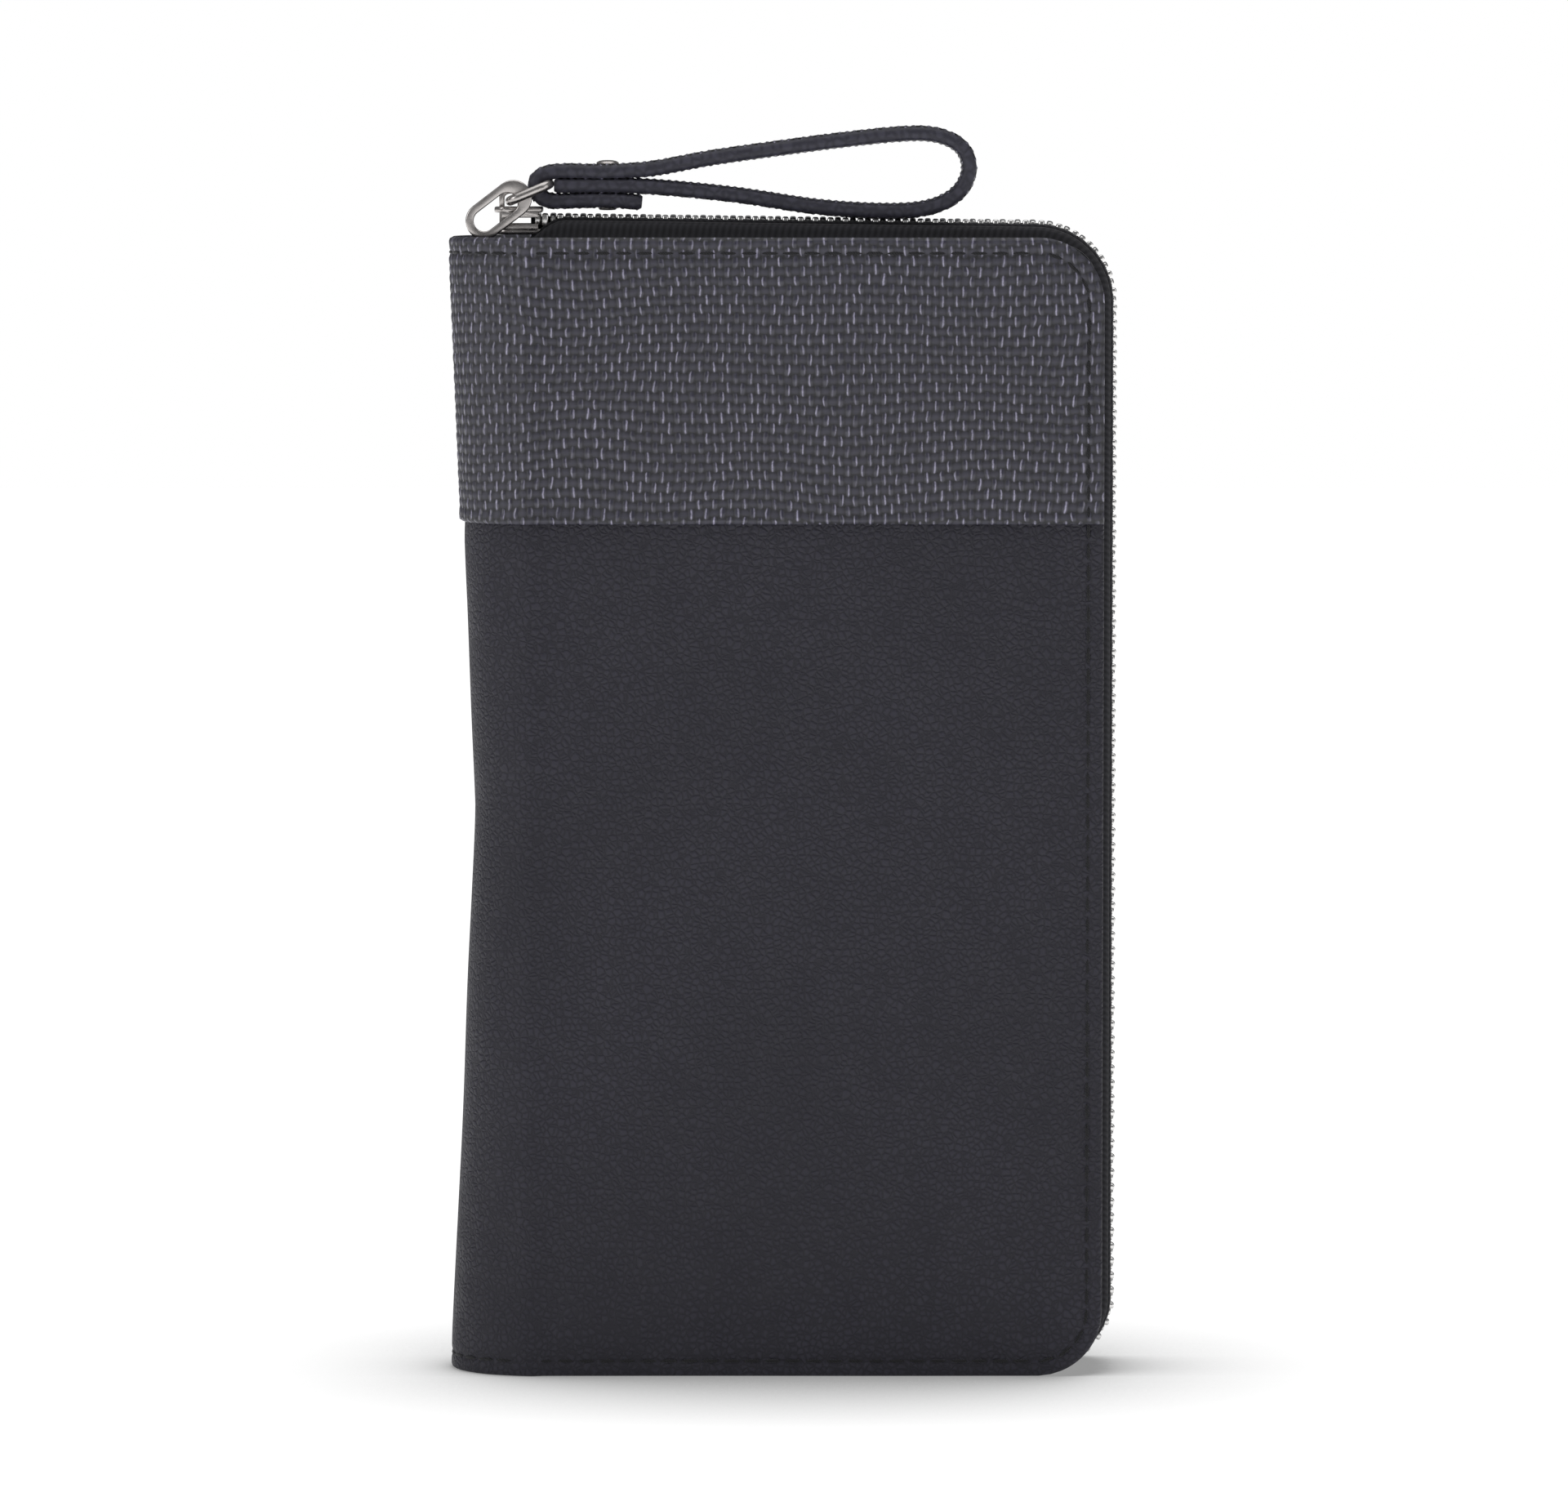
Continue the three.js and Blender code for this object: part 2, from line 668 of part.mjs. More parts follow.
function coinPullSolid() {
  const shape = new THREE.Shape();
  shape.moveTo(-0.35, -2.1);
  shape.lineTo(5.8, -1.6);
  shape.lineTo(6.6, -0.8);
  shape.lineTo(6.6, 0.8);
  shape.lineTo(5.8, 1.6);
  shape.lineTo(-0.35, 2.1);
  const hole = new THREE.Path();
  hole.moveTo(0.35, -1.2);
  hole.lineTo(2.4, -1.2);
  hole.lineTo(2.4, 1.2);
  hole.lineTo(0.35, 1.2);
  shape.holes.push(hole);
  const geometry = plate(shape, pullPivotY - 0.35, pullPivotY + 0.35);
  geometry.translate(coinSliderX, 0, coinZipZ);
  return geometry;
}

// ---- assembly -------------------------------------------------------------------------------
function sliderMesh() {
  const mesh = piece('zip_slider', sliderSolid(), 'metal');
  mesh.position.set(sliderX, 0, sliderZ);
  mesh.rotation.y = -Math.atan(chainSlope);
  return mesh;
}

const stopEnd = coverLeft + 2.1;
const organizer = new THREE.Group();
organizer.name = 'travel_document_organizer';

const back = new THREE.Group();
back.add(...coverPieces('back', 1), ...backPockets());
back.add(...zipPieces('back', 1, coverLeft, stopEnd), bottomStop());
back.add(piece('coin_zip_slider', coinSliderSolid(), 'metal'));
back.add(piece('coin_zip_pull', coinPullSolid(), 'metal'));

const spine = new THREE.Group();
spine.add(...spinePieces());

const front = new THREE.Group();
front.add(...coverPieces('front', -1), ...frontPockets());
front.add(...zipPieces('front', -1, frontTapeStart, stopEnd));

const hardware = new THREE.Group();
hardware.add(sliderMesh(), piece('pull_ring', ringSolid(), 'metal'), tabMesh());
hardware.add(piece('wrist_strap', strapSolid(), 'woven'), piece('strap_rivet', rivetSolid(), 'metal'));

organizer.add(back, spine, front, hardware);

export default organizer;
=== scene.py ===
"""Looks of a zip-around travel document organizer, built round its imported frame."""
import json
import math

import bmesh
import bpy
import numpy as np
from bpy.props import FloatProperty, FloatVectorProperty, PointerProperty
from mathutils import Matrix, Vector, noise


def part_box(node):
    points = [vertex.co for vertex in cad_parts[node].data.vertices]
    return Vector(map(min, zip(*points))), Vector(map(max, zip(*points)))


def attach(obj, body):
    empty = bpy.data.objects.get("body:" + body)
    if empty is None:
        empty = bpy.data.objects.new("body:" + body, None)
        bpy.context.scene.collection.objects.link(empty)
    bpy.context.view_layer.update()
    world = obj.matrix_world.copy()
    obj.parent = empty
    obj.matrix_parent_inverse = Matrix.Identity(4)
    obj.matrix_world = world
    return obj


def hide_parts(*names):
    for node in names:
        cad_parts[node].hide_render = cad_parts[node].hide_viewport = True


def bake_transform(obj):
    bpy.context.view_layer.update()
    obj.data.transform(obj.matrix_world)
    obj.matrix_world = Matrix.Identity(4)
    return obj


bl_info = {
    "name": "Travel Document Organizer",
    "version": (1, 0, 0),
    "blender": (4, 5, 0),
    "location": "View3D > Sidebar > Organizer",
    "description": "Builds a zip-around document wallet with a woven band and a wrist strap",
    "category": "Add Mesh",
}

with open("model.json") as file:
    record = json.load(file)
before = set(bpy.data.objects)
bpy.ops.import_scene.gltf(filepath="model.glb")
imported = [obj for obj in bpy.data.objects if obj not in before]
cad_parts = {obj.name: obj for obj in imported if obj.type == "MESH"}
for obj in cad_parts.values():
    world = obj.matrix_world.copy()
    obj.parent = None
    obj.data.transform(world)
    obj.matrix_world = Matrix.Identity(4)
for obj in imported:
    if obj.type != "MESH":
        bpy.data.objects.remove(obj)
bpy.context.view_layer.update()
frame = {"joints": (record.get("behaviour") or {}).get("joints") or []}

MM = 0.001
SIDES = {"front": -1, "back": 1}

# ---- places taken from the frame ---------------------------------------------------------
cover_low, cover_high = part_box("back_leather_cover")
band_low, band_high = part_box("back_woven_band")
spine_low, spine_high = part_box("spine_leather")
LEFT, RIGHT = cover_low.x, cover_high.x
HALF = cover_high.y
TOP = band_high.z
BAND_BOTTOM = band_low.z
BAND_PROUD = band_high.y - cover_high.y
SKIN = cover_high.y - cover_low.y
SPINE_BULGE = LEFT - spine_low.x
WAIST_HEIGHT = 94.5 * MM
WAIST_DEPTH = 9.3 * MM
SPREAD_LOW, SPREAD_HIGH = 4.3 * MM, 3.6 * MM
CORNER = 11 * MM
CORNER_X = RIGHT - CORNER
ARC = math.pi * (SPINE_BULGE + HALF) / 4

# ---- zip track: how far the chain's middle stands outside the cover's edge -----------------
RISE_SLIDER, RISE_CORNER, RISE_SIDE, RISE_BOTTOM = 2.6 * MM, 1.4 * MM, 1.1 * MM, -1.4 * MM
BEND = math.pi * CORNER / 2
SIDE_RUN = TOP - 2 * CORNER


def props():
    return bpy.context.scene.organizer


# ---- mesh helpers ------------------------------------------------------------------------
def deselect():
    for each in bpy.context.selected_objects:
        each.select_set(False)


def only(obj):
    deselect()
    obj.select_set(True)
    bpy.context.view_layer.objects.active = obj


def surface(name, us, vs, place, uv=None):
    """A grid whose columns are us and rows are vs, moved to where place says."""
    deselect()
    columns, rows = len(us) - 1, len(vs) - 1
    bpy.ops.mesh.primitive_grid_add(x_subdivisions=columns, y_subdivisions=rows, size=1)
    obj = bpy.context.active_object
    obj.name = obj.data.name = name
    mesh = obj.data
    co = np.empty(len(mesh.vertices) * 3, np.float32)
    mesh.vertices.foreach_get("co", co)
    co = co.reshape(-1, 3)
    i = np.rint((co[:, 0] + 0.5) * columns).astype(int)
    j = np.rint((co[:, 1] + 0.5) * rows).astype(int)
    u, v = np.asarray(us, float)[i], np.asarray(vs, float)[j]
    mesh.vertices.foreach_set("co", place(u, v).astype(np.float32).ravel())
    flat_u, flat_v = uv(u, v) if uv else (u, v)
    corner = np.empty(len(mesh.loops), np.int32)
    mesh.loops.foreach_get("vertex_index", corner)
    layer = mesh.uv_layers.active or mesh.uv_layers.new(name="UVMap")
    layer.data.foreach_set("uv", np.stack([flat_u[corner], flat_v[corner]], 1).astype(np.float32).ravel())
    mesh.update()
    return obj


def close_up(obj, fill=True):
    """Welds seams, closes open ends and points every face outwards."""
    mesh = bmesh.new()
    mesh.from_mesh(obj.data)
    bmesh.ops.remove_doubles(mesh, verts=mesh.verts, dist=1e-6)
    if fill:
        bmesh.ops.holes_fill(mesh, edges=mesh.edges, sides=0)
    bmesh.ops.recalc_face_normals(mesh, faces=mesh.faces)
    mesh.to_mesh(obj.data)
    mesh.free()
    return obj


def face_away(obj, centre):
    """Turns an open sheet so that its faces look away from centre."""
    normals = np.empty(len(obj.data.polygons) * 3, np.float32)
    middles = np.empty_like(normals)
    obj.data.polygons.foreach_get("normal", normals)
    obj.data.polygons.foreach_get("center", middles)
    away = middles.reshape(-1, 3) - np.array(centre)
    if (normals.reshape(-1, 3) * away).sum() < 0:
        obj.data.flip_normals()
    return obj


def modifier(obj, kind, **settings):
    only(obj)
    made = obj.modifiers.new(kind.title(), kind)
    for key, value in settings.items():
        setattr(made, key, value)
    bpy.ops.object.modifier_apply(modifier=made.name)
    return obj


def solidify(obj, thickness):
    return modifier(obj, "SOLIDIFY", thickness=thickness, offset=-1, use_even_offset=True)


def backed(obj, thickness):
    """Thickens a sheet; its back takes the piece's second material."""
    faces = len(obj.data.polygons)
    solidify(obj, thickness)
    for face in obj.data.polygons[faces : 2 * faces]:
        face.material_index = 1
    return obj


def soften(obj, width, segments=2):
    corners = {"limit_method": "ANGLE", "angle_limit": math.radians(40)}
    return modifier(obj, "BEVEL", width=width, segments=segments, **corners)


def smooth(obj, degrees=40):
    only(obj)
    bpy.ops.object.shade_smooth_by_angle(angle=math.radians(degrees))
    return obj


def box_piece(name, low, high):
    """A block between two corners."""
    deselect()
    low, high = Vector(low), Vector(high)
    bpy.ops.mesh.primitive_cube_add(size=1, location=(low + high) / 2)
    obj = bpy.context.active_object
    obj.name = obj.data.name = name
    obj.scale = high - low
    bpy.ops.object.transform_apply(location=True, rotation=True, scale=True)
    return obj


def extruded_outline(name, outline, y0, y1, hole=None):
    """A plate of an XZ outline, with an optional hole of as many points."""
    rings = []
    for points in (outline, hole) if hole else (outline,):
        deselect()
        bpy.ops.mesh.primitive_circle_add(vertices=len(points), radius=1)
        ring = bpy.context.active_object
        for vertex, (x, z) in zip(ring.data.vertices, points):
            vertex.co = (x, y0, z)
        rings.append(ring)
    join(rings)
    bpy.ops.object.mode_set(mode="EDIT")
    bpy.ops.mesh.select_all(action="SELECT")
    if hole:
        bpy.ops.mesh.bridge_edge_loops()
    else:
        bpy.ops.mesh.edge_face_add()
    bpy.ops.mesh.select_all(action="SELECT")
    bpy.ops.mesh.extrude_region_move(TRANSFORM_OT_translate={"value": (0, y1 - y0, 0)})
    bpy.ops.mesh.select_all(action="SELECT")
    bpy.ops.mesh.normals_make_consistent(inside=False)
    bpy.ops.object.mode_set(mode="OBJECT")
    obj = bpy.context.active_object
    obj.name = obj.data.name = name
    return obj


def lay_flat(obj):
    """Turns an XZ outline's plate into an XY one."""
    for vertex in obj.data.vertices:
        x, y, z = vertex.co
        vertex.co = (x, z, y)
    obj.data.flip_normals()
    return obj


def join(parts):
    """Puts the parts' meshes in the first one."""
    deselect()
    for part in parts:
        part.select_set(True)
    bpy.context.view_layer.objects.active = parts[0]
    if len(parts) > 1:
        bpy.ops.object.join()
    return parts[0]


def union(name, parts):
    """Joins solid parts into one closed body."""
    body = parts[0]
    for part in parts[1:]:
        modifier(body, "BOOLEAN", operation="UNION", object=part, solver="EXACT")
        bpy.data.objects.remove(part, do_unlink=True)
    body.name = body.data.name = name
    return body


def copies(name, template, places):
    """Copies of a small template, joined; each place is (point, along, out, across)."""
    parts = []
    for point, along, out, across in places:
        part = bpy.data.objects.new(name, template.data.copy())
        part.matrix_world = Matrix.Translation(point) @ Matrix((along, across, out)).transposed().to_4x4()
        bpy.context.scene.collection.objects.link(part)
        parts.append(part)
    bpy.data.objects.remove(template, do_unlink=True)
    obj = join(parts)
    bpy.ops.object.transform_apply(location=True, rotation=True, scale=True)
    obj.name = obj.data.name = name
    close_up(obj, fill=False)
    return smooth(obj, 50)


def dress(obj, material, ride=None, replaces=()):
    places = np.empty(len(obj.data.polygons), np.int32)
    obj.data.polygons.foreach_get("material_index", places)
    obj.data.materials.clear()
    obj.data.materials.append(material)
    obj.data.polygons.foreach_set("material_index", places)
    if ride:
        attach(obj, ride)
    if replaces:
        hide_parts(*replaces)
    return obj


# ---- material helpers ----------------------------------------------------------------------
class Nodes:
    """A short way to lay out one material's nodes."""

    def __init__(self, name, metallic=0.0, specular=0.5, sheen=0.0):
        self.material = bpy.data.materials.new(name)
        self.material.use_nodes = True
        self.tree = self.material.node_tree
        self.shader = self.tree.nodes["Principled BSDF"]
        self.shader.inputs["Metallic"].default_value = metallic
        self.shader.inputs["Specular IOR Level"].default_value = specular
        self.shader.inputs["Sheen Weight"].default_value = sheen

    def add(self, kind, links=None, **settings):
        node = self.tree.nodes.new(kind)
        for key, value in settings.items():
            setattr(node, key, value)
        for key, value in (links or {}).items():
            self.put(node.inputs[key], value)
        return node

    def put(self, socket, value):
        if hasattr(value, "is_output"):
            self.tree.links.new(value, socket)
        else:
            socket.default_value = value

    def math(self, operation, a, b=0.0, clamp=False):
        node = self.add("ShaderNodeMath", {0: a, 1: b}, operation=operation, use_clamp=clamp)
        return node.outputs[0]

    def coords(self, output="Object"):
        return self.add("ShaderNodeTexCoord").outputs[output]

    def noise(self, scale, detail=3.0, roughness=0.5, vector=None):
        vector = self.coords() if vector is None else vector
        links = {"Vector": vector, "Scale": scale, "Detail": detail, "Roughness": roughness}
        return self.add("ShaderNodeTexNoise", links).outputs["Fac"]

    def mix(self, factor, a, b):
        node = self.add("ShaderNodeMix", data_type="RGBA")
        self.put(node.inputs[0], factor)
        self.put(node.inputs[6], a)
        self.put(node.inputs[7], b)
        return node.outputs[2]

    def range(self, value, low, high, to_low=0.0, to_high=1.0):
        links = {"Value": value, "From Min": low, "From Max": high, "To Min": to_low, "To Max": to_high}
        return self.add("ShaderNodeMapRange", links).outputs["Result"]

    def bump(self, height, distance, strength=1.0, normal=None):
        links = {"Height": height, "Distance": distance, "Strength": strength}
        if normal is not None:
            links["Normal"] = normal
        return self.add("ShaderNodeBump", links).outputs["Normal"]

    def finish(self, color=None, roughness=None, normal=None):
        for name, value in (("Base Color", color), ("Roughness", roughness), ("Normal", normal)):
            if value is not None:
                self.put(self.shader.inputs[name], value)
        return self.material


def rgba(color, factor=1.0):
    return (*(c * factor for c in color), 1.0)


def pebbled_leather(name, color, cell=1.05 * MM, relief=0.15 * MM, roughness=0.56):
    n = Nodes(name, specular=0.36, sheen=0.02)
    where = n.coords()
    drift = n.add("ShaderNodeTexNoise", {"Vector": where, "Scale": 420.0, "Detail": 2.0}).outputs["Color"]
    shifted = n.add("ShaderNodeVectorMath", {0: drift, 1: (0.0012, 0.0012, 0.0012)}, operation="MULTIPLY")
    moved = n.add("ShaderNodeVectorMath", {0: where, 1: shifted.outputs[0]}, operation="ADD").outputs[0]
    where_cells = {"Vector": moved, "Scale": 1 / cell, "Randomness": 1.0}
    cells = n.add("ShaderNodeTexVoronoi", where_cells, feature="DISTANCE_TO_EDGE")
    pebble = n.range(cells.outputs["Distance"], 0.0, 0.28)
    fine = n.noise(5200.0, 2.0, 0.6)
    broad = n.noise(26.0, 4.0, 0.55)
    height = n.math("ADD", pebble, n.math("MULTIPLY", fine, 0.35))
    tone = n.math("MULTIPLY", n.range(broad, 0.3, 0.7, 0.86, 1.12), n.range(pebble, 0.0, 1.0, 0.6, 1.08))
    shade = n.mix(n.range(tone, 0.7, 1.18), rgba(color, 0.72), rgba(color, 1.25))
    rough = n.range(n.noise(150.0, 3.0), 0.3, 0.7, roughness - 0.05, roughness + 0.07)
    folds = n.bump(n.noise(210.0, 3.0, 0.6), 0.2 * MM, 0.45)
    return n.finish(shade, rough, n.bump(height, relief, 0.8, folds))


def woven_leather(name, dark, highlight_colour, cell_u, cell_v, relief=0.1 * MM):
    """Narrow upright floats stand in bricks between wider crossing threads. Each float carries a painted
    highlight stroke, and the gaps between the threads are painted darker as shade.
    """
    n = Nodes(name, specular=0.75, sheen=0.02)
    uv = n.add("ShaderNodeSeparateXYZ", {0: n.coords("UV")})
    wobble = n.math("MULTIPLY", n.math("SUBTRACT", n.noise(330.0, 2.0), 0.5), 0.0009)
    u = n.math("DIVIDE", n.math("ADD", uv.outputs[0], wobble), cell_u)
    v = n.math("DIVIDE", n.math("ADD", uv.outputs[1], wobble), cell_v)
    column, row = n.math("FLOOR", u), n.math("FLOOR", v)
    over = n.math("LESS_THAN", n.math("FRACT", n.math("MULTIPLY", n.math("ADD", column, row), 0.5)), 0.25)
    under = n.math("SUBTRACT", 1.0, over)
    from_left = n.math("SUBTRACT", n.math("FRACT", u), 0.5)
    from_low = n.math("SUBTRACT", n.math("FRACT", v), 0.5)
    du, dv = n.math("ABSOLUTE", from_left), n.math("ABSOLUTE", from_low)

    def reaches_over(distance, switch):
        rest = n.math("SUBTRACT", 1.0, n.math("MULTIPLY", distance, 2.0))
        return n.math("ADD", distance, n.math("MULTIPLY", switch, rest))

    def lens(across, half_u, along, half_v):
        across = n.math("POWER", n.math("DIVIDE", across, half_u), 2.0)
        along = n.math("POWER", n.math("DIVIDE", along, half_v), 2.0)
        return n.math("SUBTRACT", 1.0, n.math("ADD", across, along), clamp=True)

    upright = lens(du, 0.48, reaches_over(dv, under), 0.72)
    crossing = lens(reaches_over(du, over), 0.8, dv, 0.48)
    strand = n.noise(2600.0, 2.0, 0.7)
    upwards = n.math("SUBTRACT", n.math("MULTIPLY", n.math("GREATER_THAN", from_low, 0.0), 2.0), 1.0)
    float_row = n.math("ADD", row, n.math("MULTIPLY", under, upwards))
    spot = n.add("ShaderNodeCombineXYZ", {0: column, 1: float_row}).outputs[0]
    # Painted highlights: each float gets a stroke of the highlight colour at a random place across it, with
    # a random strength that the strand noise streaks.
    own = n.add("ShaderNodeTexWhiteNoise", {"Vector": spot}, noise_dimensions="2D")
    lean = n.add("ShaderNodeSeparateColor", {0: own.outputs["Color"]})
    highlight_level = n.range(n.math("POWER", own.outputs["Value"], 0.9), 0.0, 1.0, 0.06, 1.05)
    middle = n.range(lean.outputs[1], 0.0, 1.0, -0.26, 0.26)
    off_highlight_stroke = n.math("DIVIDE", n.math("ABSOLUTE", n.math("SUBTRACT", from_left, middle)), 0.17)
    on_highlight_stroke = n.math("SUBTRACT", 1.0, off_highlight_stroke, clamp=True)
    highlight_stroke = n.math("MULTIPLY", on_highlight_stroke, n.range(upright, 0.25, 0.65))
    streaked_highlight_level = n.math("MULTIPLY", highlight_level, n.range(strand, 0.35, 0.65, 0.6, 1.2))
    painted_highlight = n.math("MULTIPLY", highlight_stroke, streaked_highlight_level, clamp=True)
    # Painted shade: where no thread covers the ground, in the gaps between the threads, its colour is
    # darkened to a fifth.
    covered = n.math("MAXIMUM", upright, n.math("MULTIPLY", crossing, 0.85))
    ground = n.mix(n.range(covered, 0.1, 0.85), rgba(dark, 0.2), rgba(dark, 1.05))
    color = n.mix(painted_highlight, ground, rgba(highlight_colour))
    height = n.math("MAXIMUM", upright, n.math("MULTIPLY", crossing, 0.75))
    height = n.math("ADD", height, n.math("MULTIPLY", strand, 0.12))
    rough = n.range(upright, 0.1, 0.8, 0.6, 0.28)
    return n.finish(color, rough, n.bump(height, relief, 0.9))


def ribbed_cloth(name, color, pitch, relief=0.06 * MM, roughness=0.85, diagonal=0.5):
    """A fine twill: ribs that lean, with the thread's fuzz over them."""
    n = Nodes(name, specular=0.25, sheen=0.15)
    uv = n.add("ShaderNodeSeparateXYZ", {0: n.coords("UV")})
    lean = n.math("ADD", uv.outputs[0], n.math("MULTIPLY", uv.outputs[1], diagonal))
    ribs = n.math("SINE", n.math("MULTIPLY", lean, 2 * math.pi / pitch))
    cross = n.math("SINE", n.math("MULTIPLY", uv.outputs[1], 2 * math.pi / (pitch * 0.8)))
    thread = n.range(n.math("ADD", ribs, n.math("MULTIPLY", cross, 0.6)), -1.6, 1.6)
    fuzz = n.noise(3000.0, 2.0, 0.7)
    height = n.math("ADD", thread, n.math("MULTIPLY", fuzz, 0.4))
    lit = n.math("MULTIPLY", thread, n.range(fuzz, 0.3, 0.7, 0.6, 1.0))
    shade = n.mix(lit, rgba(color, 0.55), rgba(color, 1.6))
    rough = n.range(fuzz, 0.3, 0.7, roughness - 0.06, roughness + 0.06)
    return n.finish(shade, rough, n.bump(height, relief, 0.8))


def nickel(name, color, roughness=0.26, wear=0.08):
    n = Nodes(name, metallic=1.0)
    brushed = n.add("ShaderNodeMapping", {"Vector": n.coords(), "Scale": (900.0, 4000.0, 900.0)})
    lines = n.noise(1.0, 3.0, 0.6, brushed.outputs[0])
    blotch = n.noise(380.0, 3.0, 0.55)
    tone = n.mix(n.range(blotch, 0.3, 0.7), rgba(color, 0.86), rgba(color, 1.08))
    polish = n.range(lines, 0.3, 0.7, roughness - 0.05, roughness + 0.05)
    rough = n.math("ADD", polish, n.range(blotch, 0.4, 0.8, 0.0, wear))
    return n.finish(tone, rough, n.bump(lines, 0.004 * MM, 0.5))


def twisted_thread(name, color):
    n = Nodes(name, specular=0.3, sheen=0.2)
    where = n.add("ShaderNodeSeparateXYZ", {0: n.coords()})
    sum_axes = n.math("ADD", n.math("ADD", where.outputs[0], where.outputs[1]), where.outputs[2])
    twist = n.math("SINE", n.math("MULTIPLY", sum_axes, 2 * math.pi / (0.42 * MM)))
    # Painted light and shade: the colour follows the twist, lighter on its ridges and darker between them.
    shade = n.mix(n.range(twist, -1.0, 1.0), rgba(color, 0.6), rgba(color, 1.5))
    return n.finish(shade, n.range(n.noise(2000.0), 0.3, 0.7, 0.6, 0.8), n.bump(twist, 0.04 * MM, 0.7))


def made(name, maker, *arguments, **settings):
    """Makes a material once and hands the same one out after that."""
    return bpy.data.materials.get(name) or maker(name, *arguments, **settings)


def cover_leather():
    return made("pebbled_leather", pebbled_leather, props().leather)


def smooth_leather():
    grain = {"cell": 0.6 * MM, "relief": 0.03 * MM, "roughness": 0.6}
    return made("thin_leather", pebbled_leather, props().leather, **grain)


def edge_paint():
    grain = {"cell": 1.6 * MM, "relief": 0.03 * MM, "roughness": 0.5}
    return made("painted_edge", pebbled_leather, props().strap_edge, **grain)


def weave(name):
    p = props()
    return made(name, woven_leather, p.weave_dark, p.weave_highlight, p.weave_width, p.weave_height)


def zip_cloth():
    return made("ribbed_tape", ribbed_cloth, props().tape, 1.1 * MM)


def lining_cloth():
    return made("lining_twill", ribbed_cloth, props().lining, 0.7 * MM, relief=0.03 * MM, diagonal=1.0)


def thread():
    return made("waxed_thread", twisted_thread, props().thread)


def satin_nickel():
    return made("satin_nickel", nickel, props().nickel)


def zip_nickel():
    return made("zip_nickel", nickel, props().zip_nickel, roughness=0.2, wear=0.05)


# ---- the outer skin: spine, crease and cover in one sheet ------------------------------------
def spine_depth(z):
    """How far the spine stands out of the covers: least at its waist, most at its ends."""
    t = np.minimum(np.abs(z - WAIST_HEIGHT) / (TOP / 2), 1)
    return WAIST_DEPTH + np.where(z < WAIST_HEIGHT, SPREAD_LOW, SPREAD_HIGH) * t**1.1


def round_corner(x, z, centre_x, centre_z, up):
    """Draws a grid's square corner in to a round one, whose lines stay parallel to the edge."""
    p, q = x - centre_x, (z - centre_z) * up
    inside = (p > 0) & (q > 0)
    shrink = np.where(inside, np.maximum(p, q) / np.maximum(np.hypot(p, q), 1e-9), 1)
    return np.where(inside, centre_x + p * shrink, x), np.where(inside, centre_z + up * q * shrink, z)


def round_corners(x, z):
    """Rounds the two corners of a cover on its zip side."""
    x, z = round_corner(x, z, CORNER_X, CORNER, -1)
    return round_corner(x, z, CORNER_X, TOP - CORNER, 1)


def bell(x, middle, width):
    """A smooth hump of height 1."""
    return np.exp(-(((x - middle) / width) ** 2))


def rounded(d, radius):
    """How far a rounded edge falls away at a distance d from it."""
    lip = np.clip(radius - d, 0, radius)
    return radius - np.sqrt(np.maximum(radius**2 - lip**2, 0))


def skin(side, a, z, outset):
    """Points on the outside at a distance a from the middle of the spine and a height z."""
    turn = math.pi - np.clip(a / ARC, 0, 1) * math.pi / 2
    x = LEFT + np.where(a < ARC, (spine_depth(z) + outset) * np.cos(turn), a - ARC)
    y = side * (HALF + outset) * np.sin(turn)
    x, z = round_corners(x, z)
    return np.stack([x, y, z], 1)


def edge_distance(a, z, bottom=True, top=True):
    d = RIGHT - LEFT - (a - ARC)
    if bottom:
        d = np.minimum(d, z)
    if top:
        d = np.minimum(d, TOP - z)
    return d


def sewn_edge(d, inset, rounding=0.7 * MM):
    """The outset near a sewn edge: a rounded lip, a pressed margin and the stitches' groove."""
    groove = 0.22 * MM * bell(d, inset, 0.55 * MM)
    margin = 0.12 * MM * np.clip(1 - d / (2.2 * inset), 0, 1)
    return -(rounded(d, rounding) + groove + margin)


def crest(a):
    """The soft ridge where the cover turns into the spine."""
    return 0.5 * MM * bell(a, ARC, 1.6 * MM)


def spaced(start, end, step, fine_start=False, fine_end=False):
    """Places from start to end, closer together near the ends that are sewn edges."""
    near = np.array([0, 0.08, 0.25, 0.5, 0.8, 1.2, 1.6, 2.0, 2.3, 2.6, 3.0, 3.5, 4.2, 5.2, 6.5]) * MM
    low = start + near if fine_start else np.array([start])
    high = end - near[::-1] if fine_end else np.array([end])
    count = max(int(round((high[0] - low[-1]) / step)), 1)
    middle = np.linspace(low[-1], high[0], count + 1)[1:-1]
    return np.concatenate([low, middle, high])


def ripple(points, scale, size):
    """A slow unevenness, as hand-worked leather has."""
    return np.array([noise.noise(Vector(p) * scale) for p in points]) * size


def leather_skin(name, side):
    inset = props().stitch_inset
    us = spaced(0, ARC + RIGHT - LEFT, 2 * MM, fine_end=True)
    vs = spaced(0, BAND_BOTTOM + 0.6 * MM, 2 * MM, fine_start=True)

    def place(u, v):
        flat = skin(side, u, v, 0)
        outset = sewn_edge(edge_distance(u, v), inset) + crest(u) + ripple(flat, 38.0, 0.22 * MM)
        tuck = np.clip((v - BAND_BOTTOM + 2.2 * MM) / (2.2 * MM), 0, 1)
        return skin(side, u, v, outset - 0.25 * MM * tuck)

    obj = face_away(surface(name, us, vs, place), (0, 0, TOP / 2))
    return smooth(backed(obj, SKIN - 0.4 * MM), 50)


